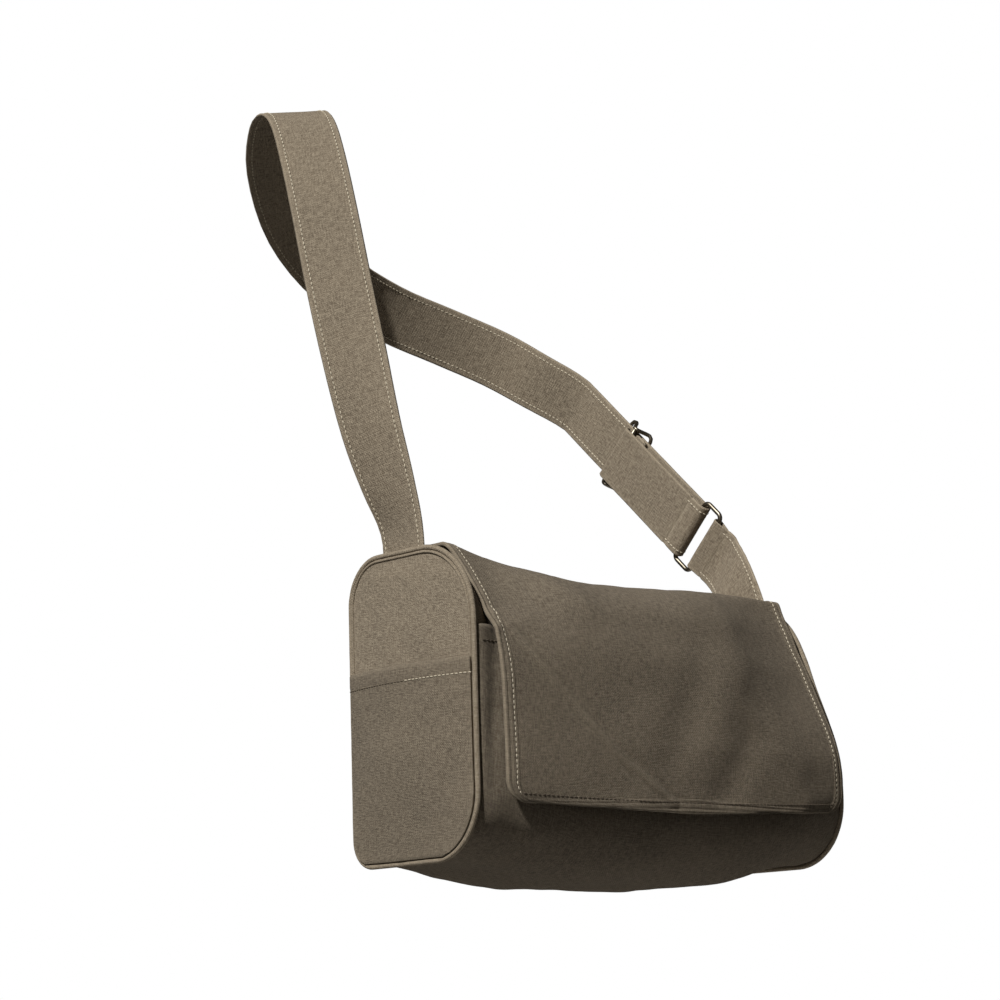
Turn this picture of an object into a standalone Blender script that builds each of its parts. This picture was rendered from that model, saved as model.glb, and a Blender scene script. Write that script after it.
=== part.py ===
"""Canvas messenger bag, hanging from its shoulder strap as it is worn.

Units are metres, +Z is up, +X runs along the bag's width and -Y is the flap side.
Shapes are written in the bag's own frame, whose z = 0 is the lowest point of the bag,
and every object is then shifted so that the world origin is the underside of the strap
where it crosses the shoulder.
"""

import math

import bmesh
import bpy
import numpy as np
from mathutils import Matrix, Vector

# Bag envelope
HALF_WIDTH = 0.190  # outer faces of the end panels
DEPTH = 0.150
TOP_LEFT = 0.2535  # the strap pulls the left end up
TOP_MIDDLE = 0.2265
TOP_RIGHT = 0.2335
END_BASE = 0.018  # the bottom sags by this much below the end panels
FLAT_BASE = 0.060  # half length of the flat stretch of the bottom
FRONT_BULGE = 0.022
SLUMP = 0.036  # how far the upper front has sunk back at the right end
FRONT_TOP_RADIUS = 0.060
BACK_TOP_RADIUS = 0.035
BACK_BOTTOM_RADIUS = 0.020
FRONT_BOTTOM_RADIUS = 0.050

# Cloth
CANVAS = 0.0016
FACING = 0.0012
LINING = 0.0008
LAYER_GAP = 0.0005
FLAP_LAYER_GAP = 0.0007
PIPING_RADIUS = 0.0015

# Front pocket, side pockets and inner pocket
POCKET_MOUTH = 0.199
BACK_PANEL_TOP = 0.2362
SIDE_POCKET_TOP = 0.165
SIDE_POCKET_BULGE = 0.0085
INNER_POCKET = (0.140, 0.090, 0.011)  # width, height, bulge
INNER_POCKET_BASE = 0.080

# Zipped mouth
ZIP_Y = 0.0125
ZIP_Z = 0.2255
MOUTH_LEFT = -0.150
MOUTH_RIGHT = 0.168
MOUTH_FRONT = -0.0125  # where the two bands hinge
MOUTH_BACK = 0.0395
TAPE_WIDTH = 0.0075
TAPE_GAP = 0.0010
BEAD = 0.0024
SLIDER_X = 0.1765
SLIDER_LENGTH = 0.009
SLIDER_WIDTH = 0.007
PULL_LENGTH = 0.017
PULL_WIDTH = 0.005

# Flap
FLAP_HALF_WIDTH = 0.172
FLAP_HINGE = (0.0705, 0.2385)
FLAP_BACK_EDGE = 0.0685
FLAP_TURN = 0.205  # where the flap's turn over the front ends
FLAP_HEM = 0.060
FLAP_TOP = ((-0.172, 0.2605), (-0.155, 0.2570), (-0.130, 0.2490), (-0.100, 0.2420), (-0.060, 0.2375),
            (0.0, 0.2365), (0.070, 0.2390), (0.120, 0.2390), (0.172, 0.2375))
SNAP_X = 0.090
SNAP_Z = 0.0895
SNAP_RADIUS = 0.008
SNAP_THICKNESS = 0.0015

# Strap
STRAP_WIDTH = 0.050
STRAP_THICKNESS = 0.0026
STRAP_X = 0.1845
SWING_AXIS = (-0.016, 0.235)  # above the bag's centre of mass, so that it hangs straight
# centre line and outward normal, from the left end of the bag up over the shoulder
STRAP_ROUTE = (
    ((-0.1845, 0.013, 0.205), (-1.0, 0.0, 0.0)),
    ((-0.1845, 0.013, 0.240), (-1.0, 0.0, 0.0)),
    ((-0.1855, 0.014, 0.274), (-1.0, 0.0, 0.0)),
    ((-0.196, 0.017, 0.310), (-0.97, -0.2, 0.1)),
    ((-0.206, 0.024, 0.355), (-0.9, -0.4, 0.1)),
    ((-0.212, 0.035, 0.412), (-0.8, -0.6, 0.1)),
    ((-0.214, 0.050, 0.470), (-0.70, -0.70, 0.2)),
    ((-0.212, 0.069, 0.530), (-0.64, -0.74, 0.3)),
    ((-0.207, 0.091, 0.583), (-0.58, -0.70, 0.45)),
    ((-0.200, 0.114, 0.620), (-0.40, -0.50, 0.75)),
    ((-0.190, 0.142, 0.637), (-0.15, -0.10, 1.0)),
    ((-0.175, 0.180, 0.637), (0.05, 0.15, 1.0)),
    ((-0.145, 0.228, 0.616), (0.25, 0.50, 0.85)),
    ((-0.095, 0.273, 0.582), (0.35, 0.80, 0.5)),
    ((-0.035, 0.299, 0.552), (0.42, 0.87, 0.25)),
    ((0.030, 0.307, 0.530), (0.52, 0.84, 0.15)),
    ((0.085, 0.296, 0.512), (0.68, 0.72, 0.12)),
    ((0.126, 0.274, 0.492), (0.84, 0.52, 0.10)),
    ((0.151, 0.247, 0.469), (0.95, 0.28, 0.08)),
)
RING_CENTRE = Vector((0.188, 0.0915, 0.315))
HARDWARE_AXIS = Vector((-0.12, 0.69, 0.71)).normalized()
HARDWARE_NORMAL = Vector((1.0, 0.10, 0.07))
STRAIGHT_RUN = 0.180
RING_ROD = 0.0020
RING_LENGTH = 0.022
RING_HALF_WIDTH = 0.0300
RUN_LEVEL = 0.00655  # the main run lies outside the return layer
RETURN_LEVEL = -0.00345
ADJUSTER_AT = 0.105  # from the ring along the strap
ADJUSTER_HALF = 0.014
ADJUSTER_RISE = 0.0100
ADJUSTER_ROD = 0.00175
TAB_ROUTE = (
    ((0.1845, 0.022, 0.190), (1.0, 0.0, 0.0)),
    ((0.1845, 0.022, 0.225), (1.0, 0.0, 0.0)),
    ((0.1850, 0.037, 0.260), (1.0, 0.02, 0.0)),
)

ORIGIN = Vector((-0.1875, 0.1480, 0.6367))  # underside of the strap at its highest point
SWING = (0.0, *SWING_AXIS)

STATIONS_X = (-0.188, -0.181, -0.170, -0.164, -0.158, -0.152, -0.110, -FLAT_BASE, 0.0,
              0.035, FLAT_BASE, 0.085, 0.110, 0.130, 0.150, 0.172, 0.1815, 0.188)


def smooth(value):
    value = min(max(value, 0.0), 1.0)
    return value * value * (3 - 2 * value)


def mix(a, b, share):
    return a + (b - a) * share


def material(name, colour, roughness, metallic=0.0):
    made = bpy.data.materials.new(name)
    made.use_nodes = True
    shader = made.node_tree.nodes["Principled BSDF"]
    shader.inputs["Base Color"].default_value = (*colour, 1.0)
    shader.inputs["Roughness"].default_value = roughness
    shader.inputs["Metallic"].default_value = metallic
    return made


def make_materials():
    return {
        "canvas": material("canvas", (0.235, 0.200, 0.150), 0.90),
        "facing": material("facing", (0.200, 0.170, 0.128), 0.92),
        "lining": material("lining", (0.110, 0.095, 0.075), 0.85),
        "zip_tape": material("zip_tape", (0.060, 0.050, 0.040), 0.80),
        "metal": material("metal", (0.45, 0.42, 0.36), 0.35, 1.0),
    }


def add_node(name, bm, finish, pivot=SWING, smooth_angle=None):
    """Turn a bmesh in the bag's frame into an object whose origin is at the pivot."""
    pivot = Vector(pivot)
    bmesh.ops.remove_doubles(bm, verts=bm.verts, dist=1e-6)
    bmesh.ops.recalc_face_normals(bm, faces=bm.faces)
    bmesh.ops.translate(bm, verts=bm.verts, vec=-pivot)
    mesh = bpy.data.meshes.new(name)
    bm.to_mesh(mesh)
    bm.free()
    mesh.materials.append(finish)
    if smooth_angle:
        mesh.shade_smooth()
        mesh.set_sharp_from_angle(angle=math.radians(smooth_angle))
    node = bpy.data.objects.new(name, mesh)
    bpy.context.scene.collection.objects.link(node)
    node.location = pivot - ORIGIN
    return node


def union(node, bm, name):
    """Join another closed shape, given in the same frame as the node, to the node."""
    helper = add_node(name, bm, node.data.materials[0], Vector(node.location) + ORIGIN)
    helper.hide_render = True
    helper.display_type = "WIRE"
    joined = node.modifiers.new(name, "BOOLEAN")
    joined.operation = "UNION"
    joined.solver = "EXACT"
    joined.object = helper
    return node


def cut(node, bm, name):
    union(node, bm, name)
    node.modifiers[name].operation = "DIFFERENCE"
    return node


def box(low, high):
    bm = bmesh.new()
    size = Vector(high) - Vector(low)
    middle = (Vector(high) + Vector(low)) / 2
    bmesh.ops.create_cube(bm, size=1.0, matrix=Matrix.Translation(middle) @ Matrix.Diagonal((*size, 1.0)))
    return bm


def slab(outer, inner):
    """Closed sheet between two grids of points that have the same rows and columns."""
    bm = bmesh.new()
    grids = [[[bm.verts.new(point) for point in row] for row in grid] for grid in (outer, inner)]
    rows = len(outer)
    columns = len(outer[0])
    for grid in grids:
        for i in range(rows - 1):
            for j in range(columns - 1):
                bm.faces.new((grid[i][j], grid[i][j + 1], grid[i + 1][j + 1], grid[i + 1][j]))
    front, back = grids
    for i in range(rows - 1):
        for j in (0, columns - 1):
            bm.faces.new((front[i][j], front[i + 1][j], back[i + 1][j], back[i][j]))
    for j in range(columns - 1):
        for i in (0, rows - 1):
            bm.faces.new((front[i][j], front[i][j + 1], back[i][j + 1], back[i][j]))
    return bm


def plate(points, low_x, high_x):
    """Flat plate across X from a closed outline of (y, z) points."""
    bm = bmesh.new()
    ends = [[bm.verts.new((x, y, z)) for y, z in points] for x in (low_x, high_x)]
    for end in ends:
        bm.faces.new(end)
    for i in range(len(points)):
        j = (i + 1) % len(points)
        bm.faces.new((ends[0][i], ends[0][j], ends[1][j], ends[1][i]))
    return bm


def tube(path, radius, sides, closed=False, up=(0.0, 0.0, 1.0)):
    """Round rod along a path; up is any direction that no part of the path runs along."""
    bm = bmesh.new()
    path = [Vector(point) for point in path]
    count = len(path)
    rings = []
    for i, point in enumerate(path):
        before = path[i - 1] if closed or i > 0 else point
        after = path[(i + 1) % count] if closed or i < count - 1 else point
        along = (after - before).normalized()
        side = along.cross(Vector(up)).normalized()
        rise = side.cross(along)
        turns = (2 * math.pi * k / sides for k in range(sides))
        rings.append([bm.verts.new(point + radius * (math.cos(a) * side + math.sin(a) * rise)) for a in turns])
    for i in range(count if closed else count - 1):
        for k in range(sides):
            m = (k + 1) % sides
            j = (i + 1) % count
            bm.faces.new((rings[i][k], rings[i][m], rings[j][m], rings[j][k]))
    if not closed:
        bm.faces.new(rings[0])
        bm.faces.new(rings[-1])
    return bm


# Outline of the bag, read at any x


def top_height(x):
    if x < MOUTH_LEFT:
        return mix(TOP_MIDDLE, TOP_LEFT, smooth((MOUTH_LEFT - 0.002 - x) / 0.018))
    return mix(TOP_MIDDLE, TOP_RIGHT, smooth((x - 0.181) / 0.007))


def base_height(x):
    return END_BASE * smooth((abs(x) - FLAT_BASE) / (0.188 - FLAT_BASE))


def bulge(x, z):
    """How far the outer front layer stands out past the end panels' outline."""
    across = max(0.0, 1 - (x / 0.188) ** 2) ** 0.6
    if z > 0.100:
        height = mix(1.0, 0.5, (z - 0.100) / (POCKET_MOUTH - 0.100))
    else:
        height = 1.0
    return FRONT_BULGE * across * height


def outline(x, side, at, off=0.0, puffed=False):
    """Point (y, z) on the outline at x; at is a height, a depth or an angle in degrees.

    Angles run from the vertical side of each corner (0) to its level side (90).
    """
    top = top_height(x)
    base = base_height(x)
    half = DEPTH / 2
    if side == "front":
        centre = top - FRONT_TOP_RADIUS
        over = max(0.0, at - centre)
        y = -half + FRONT_TOP_RADIUS - math.sqrt((FRONT_TOP_RADIUS + off) ** 2 - over ** 2)
        return y - (bulge(x, at) if puffed else 0.0), at
    if side == "back":
        return half + off, at
    if side == "top":
        return at, top + off
    if side == "bottom":
        return at, base - off
    angle = math.radians(at)
    radius = {"front_top": FRONT_TOP_RADIUS, "back_top": BACK_TOP_RADIUS,
              "back_bottom": BACK_BOTTOM_RADIUS, "front_bottom": FRONT_BOTTOM_RADIUS}[side]
    wide = radius + off + (bulge(x, base + radius) if puffed and side == "front_bottom" else 0.0)
    toward = -1 if "front" in side else 1
    rise = 1 if "top" in side else -1
    level = top - radius if rise > 0 else base + radius
    return toward * (half - radius + wide * math.cos(angle)), level + rise * (radius + off) * math.sin(angle)


def settle(bm):
    """Push the upper front back towards the right end, where the bag has slumped."""
    for vert in bm.verts:
        x, y, z = vert.co
        share = smooth((x - 0.03) / 0.14) * smooth((z - 0.085) / 0.12) * smooth((MOUTH_FRONT - y) / 0.063)
        vert.co.y = y + SLUMP * share
    return bm


def outline_loop(x, off=0.0):
    """The whole closed outline at x, as (y, z) points."""
    points = [outline(x, "front", z, off) for z in (0.090, 0.110, 0.130, 0.150)]
    points += [outline(x, "front_top", a, off) for a in range(0, 91, 15)]
    points += [outline(x, "back_top", a, off) for a in range(90, -1, -18)]
    points += [outline(x, "back", z, off) for z in (0.140, 0.090)]
    points += [outline(x, "back_bottom", a, off) for a in range(0, 91, 30)]
    points += [outline(x, "front_bottom", a, off) for a in range(90, -1, -18)]
    return points


def sheet(stations, marks, off, thickness, puffed=False):
    """Cloth that follows the outline: marks are (side, at) pairs, off is its outer face."""
    def grid(level):
        return [[(x, *outline(x, side, at(x) if callable(at) else at, level, puffed)) for side, at in marks]
                for x in stations]
    return slab(grid(off), grid(off - thickness))


# The bag's shell


def back_panel_top(x):
    """The back panel stands up to meet the flap, and drops to the corner at both ends."""
    if abs(x) < 0.175:
        return BACK_PANEL_TOP
    return min(BACK_PANEL_TOP, top_height(x) - BACK_TOP_RADIUS + 0.002)


def make_shell(finish):
    marks = [("front", z) for z in (POCKET_MOUTH, 0.186, 0.170, 0.152, 0.135, 0.118, 0.100)]
    marks += [("front_bottom", a) for a in range(0, 91, 15)]
    marks += [("bottom", 0.015)]
    marks += [("back_bottom", a) for a in (90, 60, 30, 0)]
    marks += [("back", 0.090), ("back", 0.160), ("back", back_panel_top)]
    shell = sheet(STATIONS_X, marks, 0.0, CANVAS, puffed=True)
    add_node("body_shell", settle(shell), finish["canvas"])

    wall = CANVAS + 0.0015
    marks = [("front_bottom", a) for a in range(80, -1, -16)]
    marks += [("front", z) for z in (0.100, 0.118, 0.135, 0.150)]
    marks += [("front_top", a) for a in (0, 14, 28, 42, 56, 70, 84)] + [("top", MOUTH_FRONT - 0.0007)]
    front = sheet(STATIONS_X[1:-1], marks, -wall, CANVAS)
    add_node("front_wall", settle(front), finish["canvas"])

    marks = [("back", 0.170), ("back", lambda x: top_height(x) - BACK_TOP_RADIUS)]
    marks += [("back_top", a) for a in (22, 44, 66, 84)] + [("top", MOUTH_BACK + 0.0007)]
    back = sheet(STATIONS_X[1:-1], marks, -wall, CANVAS)
    add_node("back_facing", back, finish["canvas"])


def make_ends(finish):
    for side, name in ((-1, "left"), (1, "right")):
        outer = side * HALF_WIDTH
        inner = side * (HALF_WIDTH - CANVAS)
        add_node(f"end_panel_{name}", settle(plate(outline_loop(outer), outer, inner)), finish["canvas"])
        ring = [(side * (HALF_WIDTH - 0.0011), y, z) for y, z in outline_loop(outer, PIPING_RADIUS + 0.0006)]
        piping = tube(ring, PIPING_RADIUS, 6, closed=True, up=(1.0, 0.0, 0.0))
        add_node(f"end_piping_{name}", settle(piping), finish["canvas"], smooth_angle=50)
        add_node(f"side_pocket_{name}", settle(side_pocket(side)), finish["canvas"])


def side_pocket(side):
    """Slip pocket on an end panel: closed at its sides and bottom, open along its top."""
    face = side * HALF_WIDTH
    heights = [0.0, 0.12, 0.3, 0.5, 0.62, 0.75, 0.87, 1.0]
    across = [-1.0, -0.75, -0.4, 0.0, 0.4, 0.75, 1.0]
    lift = 0.0008

    def limits(z):
        """Depth of the end panel at a height, a little inside its edge."""
        over = max(0.0, END_BASE + FRONT_BOTTOM_RADIUS - z)
        front = -DEPTH / 2 + FRONT_BOTTOM_RADIUS - math.sqrt(FRONT_BOTTOM_RADIUS ** 2 - over ** 2)
        over = max(0.0, END_BASE + BACK_BOTTOM_RADIUS - z)
        back = DEPTH / 2 - BACK_BOTTOM_RADIUS + math.sqrt(BACK_BOTTOM_RADIUS ** 2 - over ** 2)
        return front + 0.0008, back - 0.0008

    def grid(extra):
        rows = []
        for share in heights:
            z = mix(END_BASE + 0.0012, SIDE_POCKET_TOP, share)
            front, back = limits(z)
            row = []
            for s in across:
                out = SIDE_POCKET_BULGE * math.cos(s * math.pi / 2) ** 0.9 if abs(s) < 1 else 0.0
                out *= smooth(share / 0.6)
                row.append((face + side * (lift + out + extra), mix(front, back, (s + 1) / 2), z))
            rows.append(row)
        return rows

    return slab(grid(CANVAS), grid(0.0))


def make_top_ends(finish):
    """Fixed ends of the top, between the zipped mouth and the end panels."""
    marks = [("top", MOUTH_FRONT), ("top", ZIP_Y), ("top", MOUTH_BACK)]
    left = add_node("top_gusset_left",
                    sheet((-0.181, -0.170, -0.164, -0.158, -0.152, MOUTH_LEFT - 0.0005), marks, -0.0004,
                          CANVAS),
                    finish["canvas"])
    cut(left, box((-0.1640, ZIP_Y - 0.0042, 0.2), (MOUTH_LEFT + 0.01, ZIP_Y + 0.0042, 0.25)), "left_zip_slot")
    right = add_node("top_gusset_right",
                     sheet((MOUTH_RIGHT + 0.0005, 0.172, 0.1826), marks, -0.0004, CANVAS), finish["canvas"])
    cut(right, box((MOUTH_RIGHT - 0.01, ZIP_Y - 0.0042, 0.2), (0.1818, ZIP_Y + 0.0042, 0.25)), "right_zip_slot")


def make_lining(finish):
    off = -0.0060
    stations = [-0.1795] + [x for x in STATIONS_X if abs(x) < 0.17] + [0.1795]
    marks = [("front", z) for z in (0.185, 0.168, 0.152, 0.135, 0.118, 0.100)]
    marks += [("front_bottom", a) for a in range(0, 91, 18)]
    marks += [("bottom", 0.015)]
    marks += [("back_bottom", a) for a in (90, 60, 30, 0)]
    marks += [("back", z) for z in (0.100, 0.185)]
    add_node("lining_wrap", settle(sheet(stations, marks, off, LINING)), finish["lining"])
    for side, name in ((-1, "left"), (1, "right")):
        x = side * 0.1802
        points = [outline(x, mark[0], mark[1], off - 0.0003) for mark in marks]
        add_node(f"lining_end_{name}", settle(plate(points, x, x + side * LINING)), finish["lining"])

    width, height, deep = INNER_POCKET
    back = DEPTH / 2 + off - LINING - 0.0004
    columns = [s / 3 for s in range(-3, 4)]

    def grid(extra):
        return [[(s * width / 2, back - extra - deep * math.cos(s * math.pi / 2) * smooth(t / 0.6),
                  INNER_POCKET_BASE + t * height) for s in columns] for t in (0.0, 0.25, 0.6, 1.0)]

    add_node("inner_pocket", slab(grid(LINING), grid(0.0)), finish["lining"])


# The zipped mouth


def make_mouth(finish):
    x = 0.0
    off = -0.0004
    edge = ZIP_Y - TAPE_GAP - TAPE_WIDTH - LAYER_GAP
    front_marks = [("top", MOUTH_FRONT), ("top", edge)]
    edge = ZIP_Y + TAPE_GAP + TAPE_WIDTH + LAYER_GAP
    back_marks = [("top", MOUTH_BACK), ("top", edge)]
    for name, marks, toward in (("front", front_marks, -1), ("back", back_marks, 1)):
        outer = [outline(x, side, at, off) for side, at in marks]
        inner = [outline(x, side, at, off - CANVAS) for side, at in marks]
        hinge = (0.0, *inner[0])
        bar = plate(outer + inner[::-1], MOUTH_LEFT, MOUTH_RIGHT)
        add_node(f"mouth_band_{name}", bar, finish["canvas"], hinge)
        near = ZIP_Y + toward * TAPE_GAP
        bead_end = near + toward * 0.0025
        far = near + toward * TAPE_WIDTH
        tape = [(near, ZIP_Z - BEAD / 2), (near, ZIP_Z + BEAD / 2), (bead_end, ZIP_Z + BEAD / 2),
                (bead_end, ZIP_Z + 0.0005), (far, ZIP_Z + 0.0005), (far, ZIP_Z - 0.0005),
                (bead_end, ZIP_Z - 0.0005), (bead_end, ZIP_Z - BEAD / 2)]
        add_node(f"zip_tape_{name}", plate(tape, MOUTH_LEFT, MOUTH_RIGHT), finish["zip_tape"], hinge)


def make_slider(finish):
    half = SLIDER_WIDTH / 2
    web = 0.0006
    low, high = ZIP_Z - BEAD / 2 - 0.00035, ZIP_Z + BEAD / 2 + 0.00035
    skin = 0.0011
    section = [(-half, high + skin), (-half, high), (-web, high), (-web, low), (-half, low), (-half, low - skin),
               (half, low - skin), (half, low), (web, low), (web, high), (half, high), (half, high + skin)]
    section = [(ZIP_Y + y, z) for y, z in section]
    start = (SLIDER_X, ZIP_Y, ZIP_Z)
    ends = (SLIDER_X - SLIDER_LENGTH / 2, SLIDER_X + SLIDER_LENGTH / 2)
    slider = add_node("zip_slider", plate(section, *ends), finish["metal"], start)
    hub = 0.0011
    level = high + skin + 0.0003 + hub
    for side in (-1, 1):
        lug = sorted((SLIDER_X + side * 0.0021, SLIDER_X + side * 0.0031))
        shape = box((lug[0], ZIP_Y - hub, high + skin - 0.0004), (lug[1], ZIP_Y + hub, level + hub))
        union(slider, shape, f"slider_lug_{'left' if side < 0 else 'right'}")

    pin = tube([(SLIDER_X - 0.0018, ZIP_Y, level), (SLIDER_X + 0.0018, ZIP_Y, level)], hub, 10)
    pull = add_node("zip_pull", pin, finish["metal"], (SLIDER_X, ZIP_Y, level), smooth_angle=40)
    neck = 0.0016
    wide = PULL_WIDTH / 2
    grip = [(-neck, 0.0), (neck, 0.0), (neck, -0.0035), (wide, -0.0055), (wide, 0.002 - PULL_LENGTH),
            (wide - 0.001, -PULL_LENGTH), (0.001 - wide, -PULL_LENGTH), (-wide, 0.002 - PULL_LENGTH),
            (-wide, -0.0055), (-neck, -0.0035)]
    bm = bmesh.new()
    layers = [[bm.verts.new((SLIDER_X + x, ZIP_Y + y, level + z)) for x, y in grip] for z in (-0.0007, 0.0007)]
    for layer in layers:
        bm.faces.new(layer)
    for i in range(len(grip)):
        j = (i + 1) % len(grip)
        bm.faces.new((layers[0][i], layers[0][j], layers[1][j], layers[1][i]))
    union(pull, bm, "pull_grip")


# The flap


def flap_crown(x):
    heights = np.array(FLAP_TOP)
    return float(np.interp(x, heights[:, 0], heights[:, 1]))


def flap_reach(x):
    """How far forward the flap's turn over the front top corner goes."""
    return mix(0.0695, 0.0610, smooth((x - 0.03) / 0.14))


def flap_over(x, angle, inset=0.0):
    """Point (y, z) on the flap's turn over the front top corner."""
    turn = math.radians(angle)
    rise = flap_crown(x) - 0.190 - inset
    return -0.018 - (flap_reach(x) - inset) * math.sin(turn), 0.190 + rise * math.cos(turn)


def flap_fall(x, z, inset=0.0):
    """Depth of the flap's face where it hangs down the front."""
    near = mix(0.0085, 0.0062, smooth((x - 0.11) / 0.06))
    stand = mix(near, 0.0055, smooth((z - 0.165) / 0.035))
    body = outline(x, "front", min(z, POCKET_MOUTH), 0.0, puffed=True)[0] - stand
    rise = flap_crown(x) - 0.190
    over = -0.018 - flap_reach(x) * math.sqrt(max(0.0, 1 - (max(z - 0.190, 0.0) / rise) ** 2))
    return min(body, over) + inset


def flap_grid(stations, inset, hem):
    """Rows from the back edge over the top and down to the hem, whose corners are cut back."""
    rows = []
    for x in stations:
        crown = flap_crown(x) - inset
        back = 0.2405 - inset
        row = [(FLAP_BACK_EDGE, back), (0.052, mix(back, crown, 0.55)), (0.034, mix(back, crown, 0.93)),
               (0.010, crown), (-0.018, crown)]
        last = math.degrees(math.acos((FLAP_TURN - 0.190) / (crown - 0.190)))
        row += [flap_over(x, last * share, inset) for share in (0.2, 0.4, 0.6, 0.8, 1.0)]
        heights = [0.190, 0.170, 0.152, 0.135, 0.118, 0.100, 0.080, hem + 0.010, hem]
        row += [(flap_fall(x, z, inset), z) for z in heights]
        narrow = [1.0] * (len(row) - 1) + [0.930]
        rows.append([(x * share, y, z) for share, (y, z) in zip(narrow, row)])
    return rows


def make_flap(finish):
    hinge = (0.0, *FLAP_HINGE)
    stations = (-0.172, -0.155, -0.130, -0.100, -0.060, 0.0, 0.035, 0.060, 0.085, 0.110, 0.130, 0.150, 0.172)
    narrow = [x * (1 - 0.003 / FLAP_HALF_WIDTH) for x in stations]
    panel = slab(flap_grid(stations, 0.0, FLAP_HEM), flap_grid(stations, CANVAS, FLAP_HEM))
    add_node("flap_panel", settle(panel), finish["canvas"], hinge)
    start = CANVAS + FLAP_LAYER_GAP
    hem = FLAP_HEM + 0.002
    facing = slab(flap_grid(narrow, start, hem), flap_grid(narrow, start + FACING, hem))
    add_node("flap_facing", settle(facing), finish["facing"], hinge)
    for side, name in ((-1, "left"), (1, "right")):
        x = side * SNAP_X
        before, after = (outline(x + step, "front", SNAP_Z, 0.0, True)[0] for step in (-0.005, 0.005))
        face = Vector(((after - before) / 0.010, -1.0, 0.0)).normalized()
        base = Vector((x, *outline(x, "front", SNAP_Z, 0.0, True)))
        for label, near, pivot in (("socket", 0.0004, SWING), ("stud", 0.0024, hinge)):
            path = (base + face * near, base + face * (near + SNAP_THICKNESS))
            disc = tube(path, SNAP_RADIUS, 16)
            add_node(f"snap_{label}_{name}", disc, finish["metal"], pivot, smooth_angle=40)


# The strap


def catmull(points, per_span):
    """Smooth curve through a list of vectors."""
    points = [2 * points[0] - points[1], *points, 2 * points[-1] - points[-2]]
    curve = []
    for i in range(1, len(points) - 2):
        a, b, c, d = points[i - 1:i + 3]
        for k in range(per_span):
            t = k / per_span
            curve.append(0.5 * (2 * b + (c - a) * t + (2 * a - 5 * b + 4 * c - d) * t ** 2
                                + (3 * b - a - 3 * c + d) * t ** 3))
    curve.append(points[-2])
    return curve


def ribbon(centres, normals, width, thickness):
    """Flat strap along a path whose outer face looks along the normals."""
    outer, inner = [], []
    for i, centre in enumerate(centres):
        along = centres[min(i + 1, len(centres) - 1)] - centres[max(i - 1, 0)]
        across = along.cross(normals[i]).normalized() * width / 2
        face = across.cross(along).normalized() * thickness / 2
        outer.append([centre - across + face, centre + across + face])
        inner.append([centre - across - face, centre + across - face])
    return slab(outer, inner)


def hardware_frame():
    along = HARDWARE_AXIS
    normal = (HARDWARE_NORMAL - HARDWARE_NORMAL.dot(along) * along).normalized()
    return along, normal, along.cross(normal)


def at_hardware(s, n, w=0.0):
    """A point by its distance along the strap from the ring, its level and its place across."""
    along, normal, across = hardware_frame()
    return RING_CENTRE + s * along + n * normal + w * across


def arc(s, n, radius, start, end, steps):
    """Points and outward normals of a turn about a bar at (s, n); angles in degrees from +s to +n."""
    along, normal, _ = hardware_frame()
    points, normals = [], []
    for k in range(steps + 1):
        a = math.radians(mix(start, end, k / steps))
        outward = math.cos(a) * along + math.sin(a) * normal
        points.append(at_hardware(s, n) + radius * outward)
        normals.append(outward)
    return points, normals


def frame_rod(half_s, half_w, corner, level):
    """Closed path of a rectangular wire frame; level(s) gives its height."""
    path = []
    for sign_s, sign_w, start in ((1, 1, 0), (-1, 1, 90), (-1, -1, 180), (1, -1, 270)):
        for step in range(4):
            a = math.radians(start + 30 * step)
            s = sign_s * (half_s - corner) + corner * math.cos(a)
            w = sign_w * (half_w - corner) + corner * math.sin(a)
            path.append((s, w))
    return [(s, level(s), w) for s, w in path]


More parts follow.
